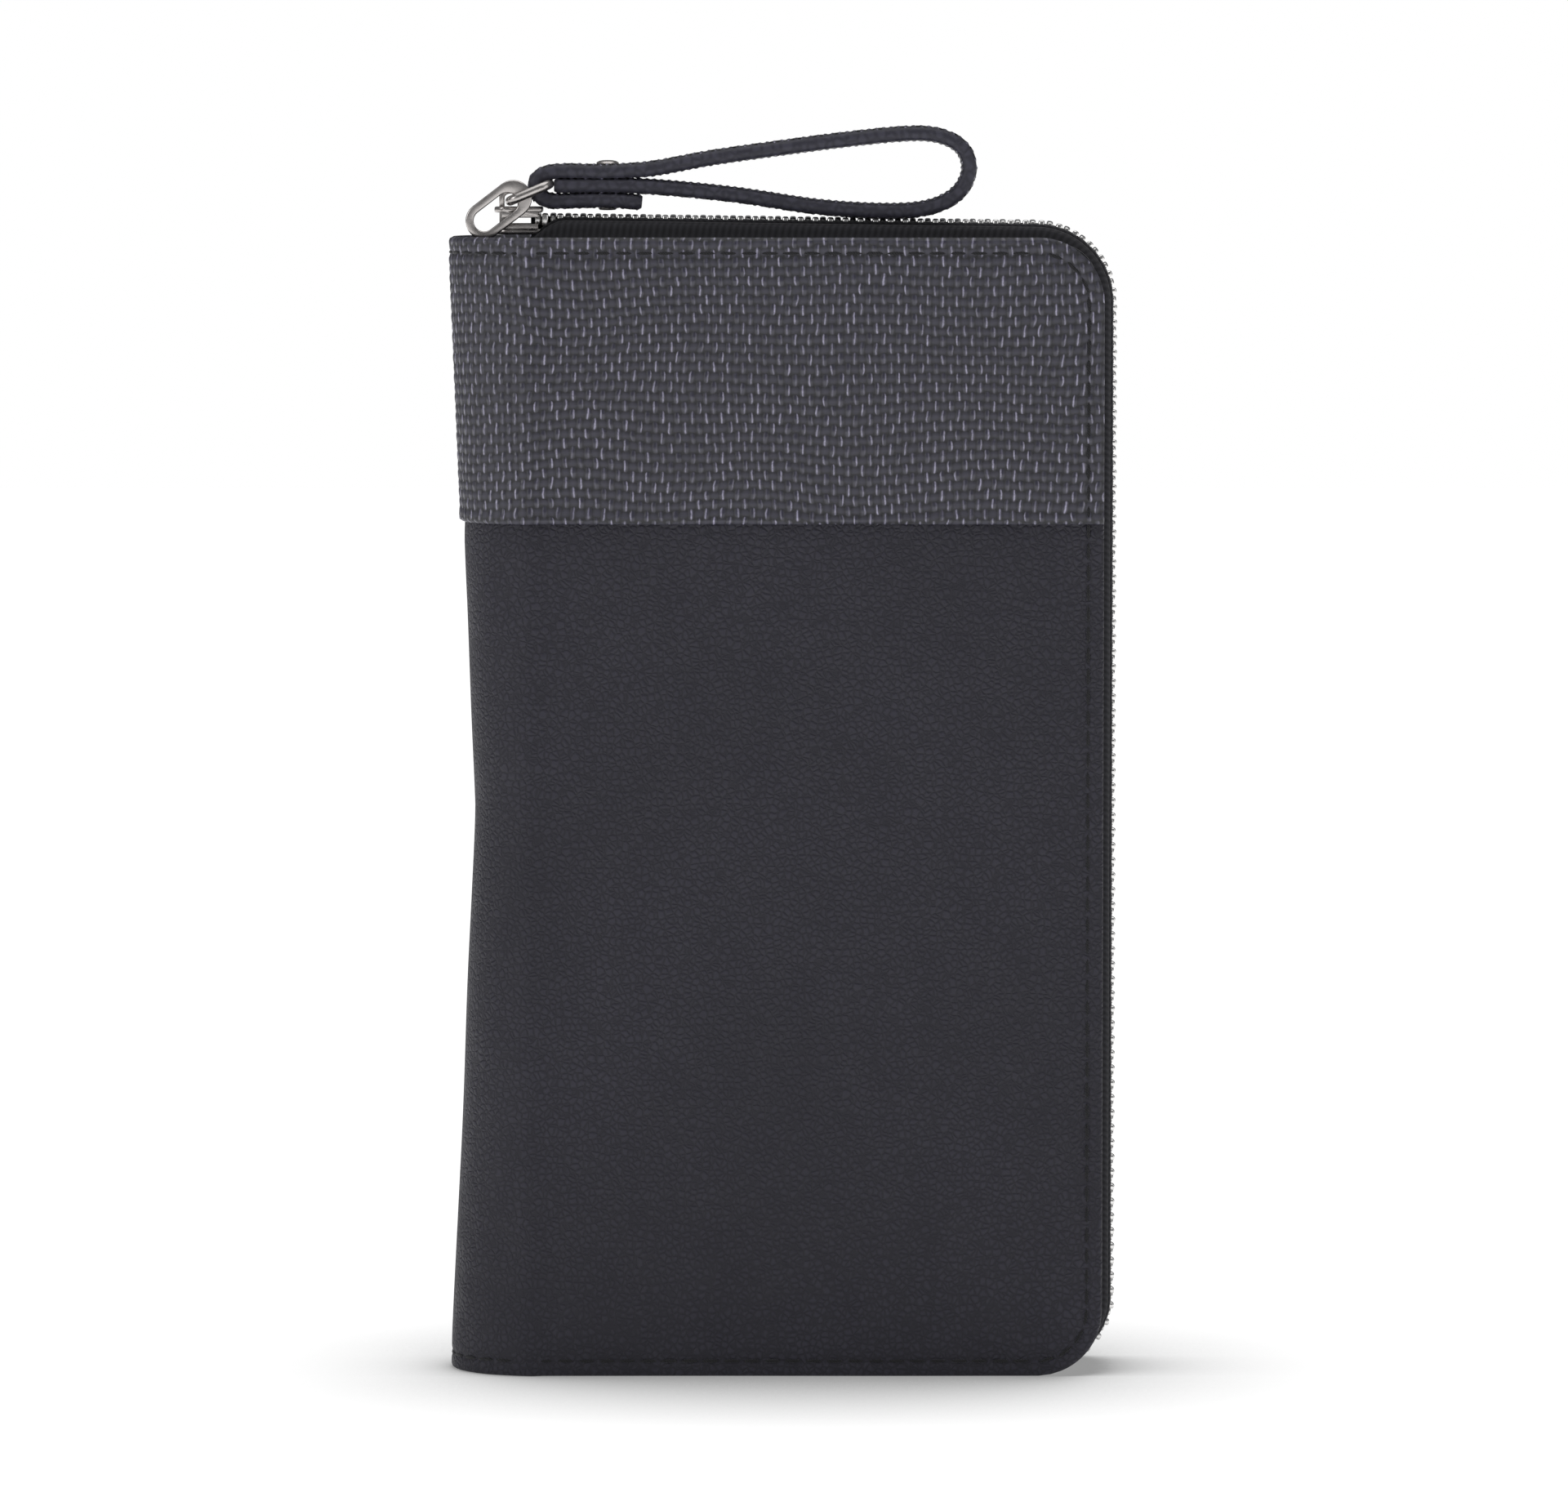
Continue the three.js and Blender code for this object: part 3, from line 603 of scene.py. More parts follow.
def band_relief(u, v):
    """Heights of the plain weave, from 0 to 1."""
    p = props()
    cu, cv = u / p.weave_width, v / p.weave_height
    over = (np.floor(cu) + np.floor(cv)) % 2 < 0.5
    du, dv = np.abs(cu % 1 - 0.5), np.abs(cv % 1 - 0.5)
    upright = np.clip(1 - (du / 0.46) ** 2 - (np.where(over, dv, 1 - dv) / 0.72) ** 2, 0, 1)
    crossing = 0.7 * np.clip(1 - (np.where(over, 1 - du, du) / 0.8) ** 2 - (dv / 0.46) ** 2, 0, 1)
    return np.maximum(upright, crossing)


def laid(a, z):
    """Where a place of the grid lies on the uncut cloth, whose threads wander a little."""
    x, z = round_corners(LEFT + a - ARC, z)
    across = ripple(np.stack([x, z, 0 * x], 1), 60.0, 1.0 * MM)
    along = ripple(np.stack([z, x, 0 * x], 1), 45.0, 1.2 * MM)
    return x - LEFT + ARC + across, z + along


def band_skin(name, side):
    p = props()
    us = np.arange(0, ARC + RIGHT - LEFT, p.weave_width / 4)
    us = np.append(us, ARC + RIGHT - LEFT)
    vs = np.arange(BAND_BOTTOM, TOP, p.weave_height / 4)
    vs = np.append(vs, TOP)

    def place(u, v):
        d = edge_distance(u, v, bottom=False)
        low = v - BAND_BOTTOM
        folded = 0.18 * MM * bell(low, 0.8 * MM, 0.7 * MM) - rounded(low, 0.55 * MM)
        relief = 0.2 * MM * band_relief(*laid(u, v)) * np.clip(0.35 + d / (4 * MM), 0, 1)
        outset = BAND_PROUD - 0.15 * MM + sewn_edge(d, p.stitch_inset) + crest(u) + folded + relief
        return skin(side, u, v, outset)

    obj = face_away(surface(name, us, vs, place, laid), (0, 0, TOP * 0.88))
    return smooth(backed(obj, SKIN), 60)


def crease_blend(obj, side):
    """Bakes a piece's transform into its mesh."""
    if side < 0:
        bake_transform(obj)
    else:
        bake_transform(obj)


class ORGANIZER_OT_outer_leather(bpy.types.Operator):
    """Adds the leather of each cover with its half of the spine"""

    bl_idname = "organizer.outer_leather"
    bl_label = "Outer Leather"

    def execute(self, context):
        for name, side in SIDES.items():
            obj = leather_skin(f"{name}_leather_skin", side)
            replaced = [f"{name}_leather_cover"] + (["spine_leather"] if side < 0 else [])
            dress(obj, cover_leather(), replaces=replaced)
            obj.data.materials.append(lining_cloth())
            crease_blend(obj, side)
        return {"FINISHED"}


class ORGANIZER_OT_woven_bands(bpy.types.Operator):
    """Adds the woven band of each cover with its half of the spine"""

    bl_idname = "organizer.woven_bands"
    bl_label = "Woven Bands"

    def execute(self, context):
        for name, side in SIDES.items():
            obj = band_skin(f"{name}_band_skin", side)
            replaced = [f"{name}_woven_band"] + (["spine_woven_band"] if side < 0 else [])
            dress(obj, weave("band_floats"), replaces=replaced)
            obj.data.materials.append(lining_cloth())
            crease_blend(obj, side)
        return {"FINISHED"}


# ---- stitching -----------------------------------------------------------------------------
def stitch_template(length, radius):
    deselect()
    bpy.ops.mesh.primitive_uv_sphere_add(segments=8, ring_count=6, radius=1)
    obj = bpy.context.active_object
    obj.scale = (length / 2, radius, radius * 0.8)
    bpy.ops.object.transform_apply(location=True, rotation=True, scale=True)
    return obj


def stitch_run(line, pitch):
    """Stitch places along a line of points; each has the line's direction and outward side."""
    points = np.array([p for p, _ in line])
    outs = np.array([o for _, o in line])
    steps = np.linalg.norm(np.diff(points, axis=0), axis=1)
    along = np.concatenate([[0], np.cumsum(steps)])
    places = []

    def at(s, values):
        return np.array([np.interp(s, along, values[:, k]) for k in range(3)])

    for s in np.arange(pitch / 2, along[-1], pitch):
        point, out = at(s, points), at(s, outs)
        direction = at(s + pitch / 4, points) - point
        if np.linalg.norm(direction) < 1e-7:
            continue
        direction /= np.linalg.norm(direction)
        out /= np.linalg.norm(out)
        places.append((point, direction, out, np.cross(out, direction)))
    return places


def cover_seam(side, height, outset):
    """The seam from the middle of the spine along an edge, as points and outward directions."""
    line = []
    for a in np.linspace(0, ARC + CORNER_X - LEFT, 120):
        point = skin(side, np.array([a]), np.array([height]), outset)[0]
        turn = math.pi - min(a / ARC, 1) * math.pi / 2
        line.append((point, (math.cos(turn), side * math.sin(turn), 0)))
    return line


def side_seam(side, low, high, outset, inset):
    """The seam round the corner at one end and along the zip side."""
    radius = CORNER - inset
    line = []
    out = (0, side, 0)
    y = side * (HALF + outset)
    if low < CORNER:
        for turn in np.linspace(math.pi / 2, 0, 8):
            x, z = CORNER_X + radius * math.cos(turn), CORNER - radius * math.sin(turn)
            line.append(((x, y, z), out))
        line.append(((RIGHT - inset, y, high), out))
    else:
        line.append(((RIGHT - inset, y, low), out))
        for turn in np.linspace(0, math.pi / 2, 8):
            x, z = CORNER_X + radius * math.cos(turn), TOP - CORNER + radius * math.sin(turn)
            line.append(((x, y, z), out))
    return line


class ORGANIZER_OT_cover_stitching(bpy.types.Operator):
    """Adds the stitches round the covers and the spine"""

    bl_idname = "organizer.cover_stitching"
    bl_label = "Cover Stitching"

    def execute(self, context):
        p = props()
        for name, side in SIDES.items():
            low_out, high_out = -0.3 * MM, BAND_PROUD - 0.33 * MM
            inset = p.stitch_inset
            places = stitch_run(cover_seam(side, inset, low_out), p.stitch_pitch)
            places += stitch_run(cover_seam(side, TOP - inset, high_out), p.stitch_pitch)
            places += stitch_run(side_seam(side, 0, BAND_BOTTOM, low_out, inset), p.stitch_pitch)
            places += stitch_run(side_seam(side, BAND_BOTTOM, TOP, high_out, inset), p.stitch_pitch)
            template = stitch_template(p.stitch_pitch * 0.82, 0.3 * MM)
            obj = copies(f"{name}_cover_stitches", template, places)
            dress(obj, thread())
            crease_blend(obj, side)
        return {"FINISHED"}


# ---- things that follow the cover's edge ------------------------------------------------------
def track(start, s):
    """Places along the zip's path: points on the cover's edge, outward directions and rise."""
    s = np.asarray(s, float)
    top_run = CORNER_X - start
    slope = (RISE_CORNER - RISE_SLIDER) / (CORNER_X - LEFT)
    first, second = top_run + BEND, top_run + BEND + SIDE_RUN
    third = second + BEND
    upper = np.clip((s - top_run) / BEND, 0, 1)
    lower = np.clip((s - second) / BEND, 0, 1)
    angle = math.pi / 2 * (1 - upper - lower)
    nx, nz = np.cos(angle), np.sin(angle)
    side_drop = np.clip(s - first, 0, SIDE_RUN)
    x = CORNER_X + CORNER * nx - np.clip(top_run - s, 0, None) - np.clip(s - third, 0, None)
    z = TOP - CORNER - side_drop + CORNER * nz
    rise_top = RISE_SLIDER + (np.minimum(start + s, CORNER_X) - LEFT) * slope
    rise = rise_top + (RISE_SIDE - RISE_CORNER) * upper
    rise = rise + (RISE_BOTTOM - RISE_SIDE) * lower
    return x, z, nx, nz, rise


def track_length(start, end):
    return CORNER_X - start + 2 * BEND + SIDE_RUN + CORNER_X - end


def track_steps(start, end, step):
    length = track_length(start, end)
    return np.linspace(0, length, int(length / step) + 1)


def swept(name, side, start, end, section, step=1.5 * MM, taper=0.0):
    """A closed body of a section carried along the path. section(rise) gives y and n arrays.

    With a taper, the start lies that much lower, as the tape does where it leaves the slider."""
    stops = track_steps(start, end, step)
    count = len(section(np.array([0.0]))[0])
    around = np.arange(count + 1)

    def place(u, v):
        x, z, nx, nz, rise = track(start, u)
        rise = rise - taper * np.clip(1 - u / (5.5 * MM), 0, 1) ** 1.5
        ys, ns = section(rise)
        k = np.rint(v / MM).astype(int) % count
        rows = np.arange(len(u))
        y, n = ys[k, rows], ns[k, rows]
        return np.stack([x + nx * n, side * y, z + nz * n], 1)

    return close_up(surface(name, stops, around * MM, place))


def tape_section(rise):
    """The tape as a thin closed outline: its shelf by the teeth, its fall and its hem."""
    across = (2.3, 3.2, 4.15, 4.5, 4.65, 4.85, 6.2, 7.5, 7.8, 7.8)
    shelf = [rise - 0.1 * MM] * 3 + [rise - 0.4 * MM, np.minimum(rise - 1.0 * MM, -1.2 * MM)]
    y = np.array(across)[:, None] * MM + 0 * rise
    n = np.array(shelf + [drop * MM + 0 * rise for drop in (-2.2, -2.55, -2.9, -3.5, -4.9)])
    half = 0.28 * MM
    dy, dn = np.gradient(y, axis=0), np.gradient(n, axis=0)
    size = np.maximum(np.hypot(dy, dn), 1e-9)
    oy, on = -dn / size * half, dy / size * half
    return np.concatenate([y + oy, (y - oy)[::-1]]), np.concatenate([n + on, (n - on)[::-1]])


def bead_section(rise):
    """The woven bead that the teeth are clamped to."""
    turn = np.arange(8) * math.pi / 4
    y = 2.35 * MM + 0.55 * MM * np.cos(turn)[:, None] + 0 * rise
    n = rise + 0.72 * MM * np.sin(turn)[:, None]
    return y, n


def turned_edge_section(rise):
    """The leather turned in over the board's edge, rounded on the outside."""
    outline = [
        (8.15, -0.9), (8.4, -0.55), (8.9, -0.35), (10.4, -0.3), (10.95, -0.45), (10.95, -5.6), (8.15, -5.6),
    ]
    y = np.array([p[0] for p in outline])[:, None] * MM + 0 * rise
    n = np.array([p[1] for p in outline])[:, None] * MM + 0 * rise
    return y, n


class ORGANIZER_OT_turned_edges(bpy.types.Operator):
    """Adds the leather turned in over each board's edge"""

    bl_idname = "organizer.turned_edges"
    bl_label = "Turned Edges"

    def execute(self, context):
        for name, side in SIDES.items():
            start = LEFT + 0.4 * MM
            obj = smooth(swept(f"{name}_turned_edge", side, start, start, turned_edge_section), 35)
            dress(obj, smooth_leather(), ride=name, replaces=[f"{name}_cover_board"])
        return {"FINISHED"}


class ORGANIZER_OT_zip_tapes(bpy.types.Operator):
    """Adds the zip's two tapes and the beads along them"""

    bl_idname = "organizer.zip_tapes"
    bl_label = "Zip Tapes"

    def execute(self, context):
        for name, side in SIDES.items():
            start = LEFT + 0.3 * MM
            drop = 3.4 * MM if side < 0 else 0.0
            tape = smooth(swept(f"{name}_tape", side, start, start, tape_section, 1.2 * MM, drop), 60)
            dress(tape, zip_cloth(), ride=name, replaces=[f"{name}_zip_tape"])
            bead = smooth(swept(f"{name}_tape_bead", side, start, start, bead_section, 1.2 * MM, drop), 60)
            dress(bead, zip_cloth(), ride=name)
        return {"FINISHED"}


def tooth_template():
    """One zip tooth: a clamp, a neck and a rounded head that reaches past the middle."""
    deselect()
    bpy.ops.mesh.primitive_cube_add(size=1)
    obj = bpy.context.active_object
    obj.scale = (1.05 * MM, 3.1 * MM, 2.2 * MM)
    obj.location = (0, 0.95 * MM, 0.2 * MM)
    bpy.ops.object.transform_apply(location=True, rotation=True, scale=True)
    bpy.ops.object.mode_set(mode="EDIT")
    bpy.ops.mesh.select_all(action="SELECT")
    bpy.ops.mesh.bevel(offset=0.3 * MM, segments=2, affect="EDGES")
    bpy.ops.object.mode_set(mode="OBJECT")
    for vertex in obj.data.vertices:
        if vertex.co.y < 0.2 * MM:
            vertex.co.z *= 0.86
            vertex.co.x *= 0.9
    return obj


class ORGANIZER_OT_zip_teeth(bpy.types.Operator):
    """Adds the two rows of zip teeth and the stop at their lower end"""

    bl_idname = "organizer.zip_teeth"
    bl_label = "Zip Teeth"

    def execute(self, context):
        pitch = props().tooth_pitch
        end = LEFT + 2.6 * MM
        for name, side in SIDES.items():
            start = LEFT + (2.8 * MM if side < 0 else 1.2 * MM)
            shift = 0.0 if side < 0 else 0.35 * MM
            stops = np.arange(shift, track_length(start, end), pitch)
            x, z, nx, nz, rise = track(start, stops)
            places = []
            for k in range(len(stops)):
                point = (x[k] + nx[k] * rise[k], 0, z[k] + nz[k] * rise[k])
                along = (nz[k], 0, -nx[k])
                places.append((point, along, (nx[k], 0, nz[k]), (0, side, 0)))
            obj = copies(f"{name}_teeth", tooth_template(), places)
            dress(obj, zip_nickel(), ride=name, replaces=[f"{name}_zip_teeth"])
        low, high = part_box("zip_bottom_stop")
        stop = smooth(soften(box_piece("zip_end_stop", low, high), 0.3 * MM, 3), 40)
        dress(stop, zip_nickel(), ride="back", replaces=["zip_bottom_stop"])
        return {"FINISHED"}


# ---- slider, ring and pull tab ---------------------------------------------------------------
def joint_point(name):
    return Vector(next(j for j in frame["joints"] if j["name"] == name)["pos_m"])


def slider_outline(centre, half_length, half_width):
    """A slider's plate from above: a shouldered front that narrows to its mouth."""
    spots = [
        (-1.0, 0.34), (-0.93, 0.6), (-0.78, 0.84), (-0.55, 0.97), (-0.3, 1.0), (0.1, 0.95),
        (0.6, 0.88), (0.9, 0.84), (1.0, 0.74),
    ]
    half = [(centre.x + a * half_length, b * half_width) for a, b in spots]
    return half + [(x, -y) for x, y in reversed(half)]


def slider_plate(centre, z0, z1, half_length, half_width):
    outline = slider_outline(centre, half_length, half_width)
    return soften(lay_flat(extruded_outline("plate", outline, z0, z1)), 0.22 * MM, 2)


def bridge(centre_x, low_z, bar_z, reach, half_width):
    """The arch over the slider's plate that the ring hangs in."""
    outer, inner = reach + 0.85 * MM, reach
    height = bar_z + 1.15 * MM
    outside, inside = [], []
    for turn in np.linspace(math.pi, 0, 13):
        outside.append((centre_x + outer * math.cos(turn), height - 0.4 * MM + 1.2 * MM * math.sin(turn)))
        inside.append((centre_x + inner * math.cos(turn), height - 0.75 * MM + 0.75 * MM * math.sin(turn)))
    foot = low_z - 0.2 * MM
    outline = [(centre_x - outer, foot)] + outside + [(centre_x + outer, foot)]
    hole = [(centre_x - inner, foot)] + inside + [(centre_x + inner, foot)]
    points = outline + hole[::-1]
    arch = extruded_outline("bridge", points, -half_width, half_width)
    return soften(arch, 0.2 * MM, 2)


def main_slider():
    low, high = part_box("zip_slider")
    bar = joint_point("ring_swing")
    centre = Vector(((low.x + high.x) / 2, 0, 0))
    half_width = (high.y - low.y) / 2
    half_length = (high.x - low.x) / 2
    middle = TOP + RISE_SLIDER
    gap, plate = 1.35 * MM, 0.95 * MM
    parts = [
        slider_plate(centre, middle + gap, middle + gap + plate, half_length, half_width),
        slider_plate(centre, middle - gap - plate, middle - gap, half_length, half_width * 0.96),
    ]
    wedge_x = low.x + 0.8 * MM
    wedge_low = (wedge_x, -0.5 * MM, middle - gap - 0.3 * MM)
    wedge_high = (wedge_x + 1.6 * MM, 0.5 * MM, middle + gap + 0.3 * MM)
    parts.append(box_piece("wedge", wedge_low, wedge_high))
    for side in (-1, 1):
        for up in (-1, 1):
            inner, outer = half_width - 0.45 * MM, half_width * 0.97
            near_z, far_z = 0.5 * MM, gap + 0.2 * MM
            ys = sorted((side * inner, side * outer))
            zs = sorted((middle + up * near_z, middle + up * far_z))
            lip = box_piece("lip", (low.x + 1.3 * MM, ys[0], zs[0]), (low.x + 7.3 * MM, ys[1], zs[1]))
            parts.append(soften(lip, 0.12 * MM, 2))
    parts.append(bridge(bar.x, middle + gap + plate, bar.z, 1.1 * MM, 0.95 * MM))
    return smooth(union("zip_slider_body", parts), 35)


def pull_ring_wire():
    """A round wire bent into an oblong loop, one bar in the bridge and one in the strap."""
    low = joint_point("ring_swing")
    high = joint_point("strap_swing")
    span = high - low
    length = span.length
    rise = Vector((-span.z, 0, span.x)) / length
    ring_low, ring_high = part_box("pull_ring")
    wire = 0.8 * MM
    half = (ring_high.y - ring_low.y) / 2 - wire
    corner = 1.5 * MM
    path = []
    out, far = half - corner, length - corner
    for quarter, (cy, cu) in enumerate([(out, far), (-out, far), (-out, corner), (out, corner)]):
        for turn in np.linspace(0, math.pi / 2, 9):
            angle = quarter * math.pi / 2 + turn
            path.append((cy, cu, angle))
    path = np.array(path + [path[0]])
    wire_turns = np.linspace(0, 2 * math.pi, 17)
    forward, up = np.array(span / length), np.array(rise)

    def place(u, v):
        k = np.rint(u).astype(int)
        cy, cu, angle = path[k, 0], path[k, 1], path[k, 2]
        reach = corner + wire * np.cos(v)
        y = cy + reach * np.cos(angle)
        along = cu + reach * np.sin(angle)
        lift = wire * np.sin(v)
        base = np.array(low)
        return base + along[:, None] * forward + lift[:, None] * up + y[:, None] * np.array([0, 1, 0])

    obj = surface("pull_ring_wire", np.arange(len(path)), wire_turns, place)
    return smooth(close_up(obj, fill=False), 70)


def stadium(start, end, half, count=14):
    """An oblong with round ends, starting at its lower right."""
    points = []
    for turn in np.linspace(-math.pi / 2, math.pi / 2, count):
        points.append((end - half + half * math.cos(turn), half * math.sin(turn)))
    for turn in np.linspace(math.pi / 2, 1.5 * math.pi, count):
        points.append((start + half + half * math.cos(turn), half * math.sin(turn)))
    return points


def pull_tab_plate():
    """A cast oval tab, open in the middle, with a plain solid end."""
    low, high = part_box("pull_tab")
    bar = joint_point("tab_swing")
    droop = math.radians(37.4)
    start, end = -8.54 * MM, 3.76 * MM
    half = 3.1 * MM

    def turned(points):
        c, s = math.cos(droop), math.sin(droop)
        return [(bar.x + a * c - b * s, bar.z + a * s + b * c) for a, b in points]

    outline = turned(stadium(start, end, half))
    hole = turned(stadium(start + 1.35 * MM, 1.15 * MM, 1.75 * MM))
    tab = extruded_outline("tab_plate", outline, low.y, high.y, hole)
    return smooth(soften(tab, 0.26 * MM, 3), 50)


class ORGANIZER_OT_pull_hardware(bpy.types.Operator):
    """Adds the main zip's slider, the ring and the oval pull tab"""

    bl_idname = "organizer.pull_hardware"
    bl_label = "Pull Hardware"

    def execute(self, context):
        dress(main_slider(), satin_nickel(), "slider", ["zip_slider"])
        dress(pull_ring_wire(), satin_nickel(), "ring", ["pull_ring"])
        dress(pull_tab_plate(), satin_nickel(), "tab", ["pull_tab"])
        return {"FINISHED"}


# ---- wrist strap -------------------------------------------------------------------------------
# The strap's middle line: tail, fold round the ring, top of the loop, bend, lower strand and
# the end that is held in the fold.
STRAP_LINE = [
    (-23.5, 195.6), (-27, 195.9), (-31, 196), (-35, 195.9), (-38.6, 195.9), (-40.6, 196.8),
    (-41.2, 198.5), (-40.5, 199.9), (-38.5, 200.65), (-35, 200.8), (-30, 200.7), (-22, 201.2),
    (-12, 203), (0, 204.7), (10, 206), (20, 207), (25.6, 206.8), (29.5, 205), (31, 202),
    (30.4, 198.9), (28, 196.3), (23.5, 194.6), (16.5, 194.2), (5.6, 194.9), (-8.1, 196.9),
    (-21.7, 198.2), (-30, 198.4), (-38.05, 198.4),
]


def smooth_line(points, count):
    """Evenly spaced points and directions on a smooth curve through the given ones."""
    p = np.array(points, float) * MM
    dense = []
    padded = np.vstack([2 * p[0] - p[1], p, 2 * p[-1] - p[-2]])
    for k in range(1, len(padded) - 2):
        p0, p1, p2, p3 = padded[k - 1 : k + 3]
        for t in np.linspace(0, 1, 24, endpoint=False):
            square, cube = 2 * p0 - 5 * p1 + 4 * p2 - p3, 3 * p1 - p0 - 3 * p2 + p3
            dense.append(0.5 * (2 * p1 + (p2 - p0) * t + square * t**2 + cube * t**3))
    dense = np.array(dense + [p[-1]])
    lengths = np.concatenate([[0], np.cumsum(np.linalg.norm(np.diff(dense, axis=0), axis=1))])
    even = np.linspace(0, lengths[-1], count)
    places = np.stack([np.interp(even, lengths, dense[:, k]) for k in (0, 1)], 1)
    along = np.gradient(places, axis=0)
    along /= np.linalg.norm(along, axis=1)[:, None]
    return places, along, lengths[-1]


def strap_section(half_width, half_thickness):
    """A flat section with rounded edges: across, thickness and the way round it."""
    radius = half_thickness * 0.75
    points = []
    faces = 24
    for k in range(faces + 1):
        points.append((-half_width + radius + (2 * (half_width - radius)) * k / faces, half_thickness))
    for turn in np.linspace(math.pi / 2, -math.pi / 2, 7)[1:-1]:
        points.append((half_width - radius + radius * math.cos(turn), half_thickness * math.sin(turn)))
    top = list(points)
    return top + [(-a, -b) for a, b in top]


class ORGANIZER_OT_wrist_strap(bpy.types.Operator):
    """Adds the wrist strap and the rivet that holds its fold"""

    bl_idname = "organizer.wrist_strap"
    bl_label = "Wrist Strap"

    def execute(self, context):
        low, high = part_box("wrist_strap")
        half_width = (high.y - low.y) / 2
        half_thickness = 1.2 * MM
        places, along, length = smooth_line(STRAP_LINE, 520)
        section = np.array(strap_section(half_width, half_thickness))
        p = props()

        def place(u, v):
            i = np.rint(u / length * (len(places) - 1)).astype(int)
            k = np.rint(v).astype(int) % len(section)
            across, out = section[k, 0], section[k, 1]
            flat = np.abs(across) < half_width - 0.6 * MM
            weave = band_relief(places_length(i), across + 10 * MM) * 0.34 * MM - 0.16 * MM
            out = out + np.where(flat, np.sign(out) * weave, 0)
            tip = np.minimum(i, len(places) - 1 - i)
            across = across * np.where(tip < 3, 0.93 + 0.023 * tip, 1)
            out = out * np.where(tip < 2, 0.8 + 0.1 * tip, 1)
            point, direction = places[i], along[i]
            x, z = point[:, 0] - direction[:, 1] * out, point[:, 1] + direction[:, 0] * out
            return np.stack([x, across, z], 1)

        def places_length(i):
            return i / (len(places) - 1) * length

        def flat_map(u, v):
            k = np.rint(v).astype(int) % len(section)
            return u, section[k, 0] + 10 * MM

        us = np.linspace(0, length, len(places))
        strap = close_up(surface("wrist_strap_weave", us, np.arange(len(section) + 1), place, flat_map))
        strap = smooth(strap, 60)
        dress(strap, weave("strap_floats"), "strap", ["wrist_strap"])
        strap.data.materials.append(edge_paint())
        for face in strap.data.polygons:
            if abs(face.center.y) > half_width - 0.65 * MM:
                face.material_index = 1
        dress(rivet(), satin_nickel(), "strap", ["strap_rivet"])
        self.edge_seams(places, along, half_width, half_thickness, p)
        return {"FINISHED"}

    def edge_seams(self, places, along, half_width, half_thickness, p):
        """Stitches along both edges of the strap's outer face."""
        runs = []
        for y in (-half_width + 1.5 * MM, half_width - 1.5 * MM):
            line = []
            for (x, z), (dx, dz) in zip(places[::4], along[::4]):
                out = np.array((-dz, 0, dx))
                line.append((np.array((x, y, z)) + out * (half_thickness - 0.06 * MM), out))
            runs += stitch_run(line, p.stitch_pitch)
        template = stitch_template(p.stitch_pitch * 0.75, 0.2 * MM)
        dress(copies("strap_stitches", template, runs), thread(), ride="strap")


def rivet():
    """A domed cap, a post and a flat foot, turned as one profile."""
    low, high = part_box("strap_rivet")
    x = (low.x + high.x) / 2
    height = high.z - low.z
    profile = [
        (0, 0), (0.7, 0), (1.35, 0.06), (1.55, 0.25), (1.6, 0.5), (0.7, 0.55), (0.7, height / MM - 0.75),
        (1.7, height / MM - 0.72), (1.9, height / MM - 0.6), (1.8, height / MM - 0.36),
        (1.4, height / MM - 0.14), (0.8, height / MM - 0.03), (0, height / MM),
    ]
    points = np.array(profile) * MM

    def place(u, v):
        k = np.rint(u).astype(int)
        r, z = points[k, 0], points[k, 1]
        return np.stack([x + r * np.cos(v), r * np.sin(v), low.z + z], 1)

    obj = surface("strap_rivet_cap", np.arange(len(points)), np.linspace(0, 2 * math.pi, 33), place)
    return smooth(close_up(obj, fill=False), 45)


# ---- inside ------------------------------------------------------------------------------------
def sewn_panel(name, node, side, material, slot, body):
    """A pocket's panel: soft edges and a folded and stitched open edge."""
    low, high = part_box(node)
    thickness = high.y - low.y
    inner = low.y if side > 0 else high.y
    us = spaced(low.x, high.x, 3 * MM, True, True)
    vs = spaced(low.z, high.z, 3 * MM, True, True)
    radius = 7 * MM

    def place(u, v):
        x, z = u, v
        if low.z < CORNER:
            x, z = round_corner(x, z, high.x - radius, low.z + radius, -1)
        if high.z > TOP - CORNER:
            x, z = round_corner(x, z, high.x - radius, high.z - radius, 1)
        fold = high.z - v
        edge = np.minimum(np.minimum(np.minimum(u - low.x, high.x - u), v - low.z), fold)
        drop = 0.12 * MM * bell(edge, 0, 0.25 * MM)
        seam = 0.1 * MM * bell(fold, 2.6 * MM, 0.4 * MM)
        return np.stack([x, inner + side * (drop + seam), z], 1)

    obj = surface(name, us, vs, place)
    if obj.data.polygons[0].normal.y * side > 0:
        obj.data.flip_normals()
    obj = smooth(solidify(obj, thickness * 0.9), 40)
    dress(obj, material, body, [node])
    out = (0, -side, 0)
    y = inner + side * 0.04 * MM
    line = [((low.x + 2 * MM, y, high.z - 2.6 * MM), out), ((high.x - 2 * MM, y, high.z - 2.6 * MM), out)]
    template = stitch_template(2.2 * MM, 0.16 * MM)
    dress(copies(f"{name}_seam", template, stitch_run(line, 2.9 * MM)), thread(), ride=body)
    return obj


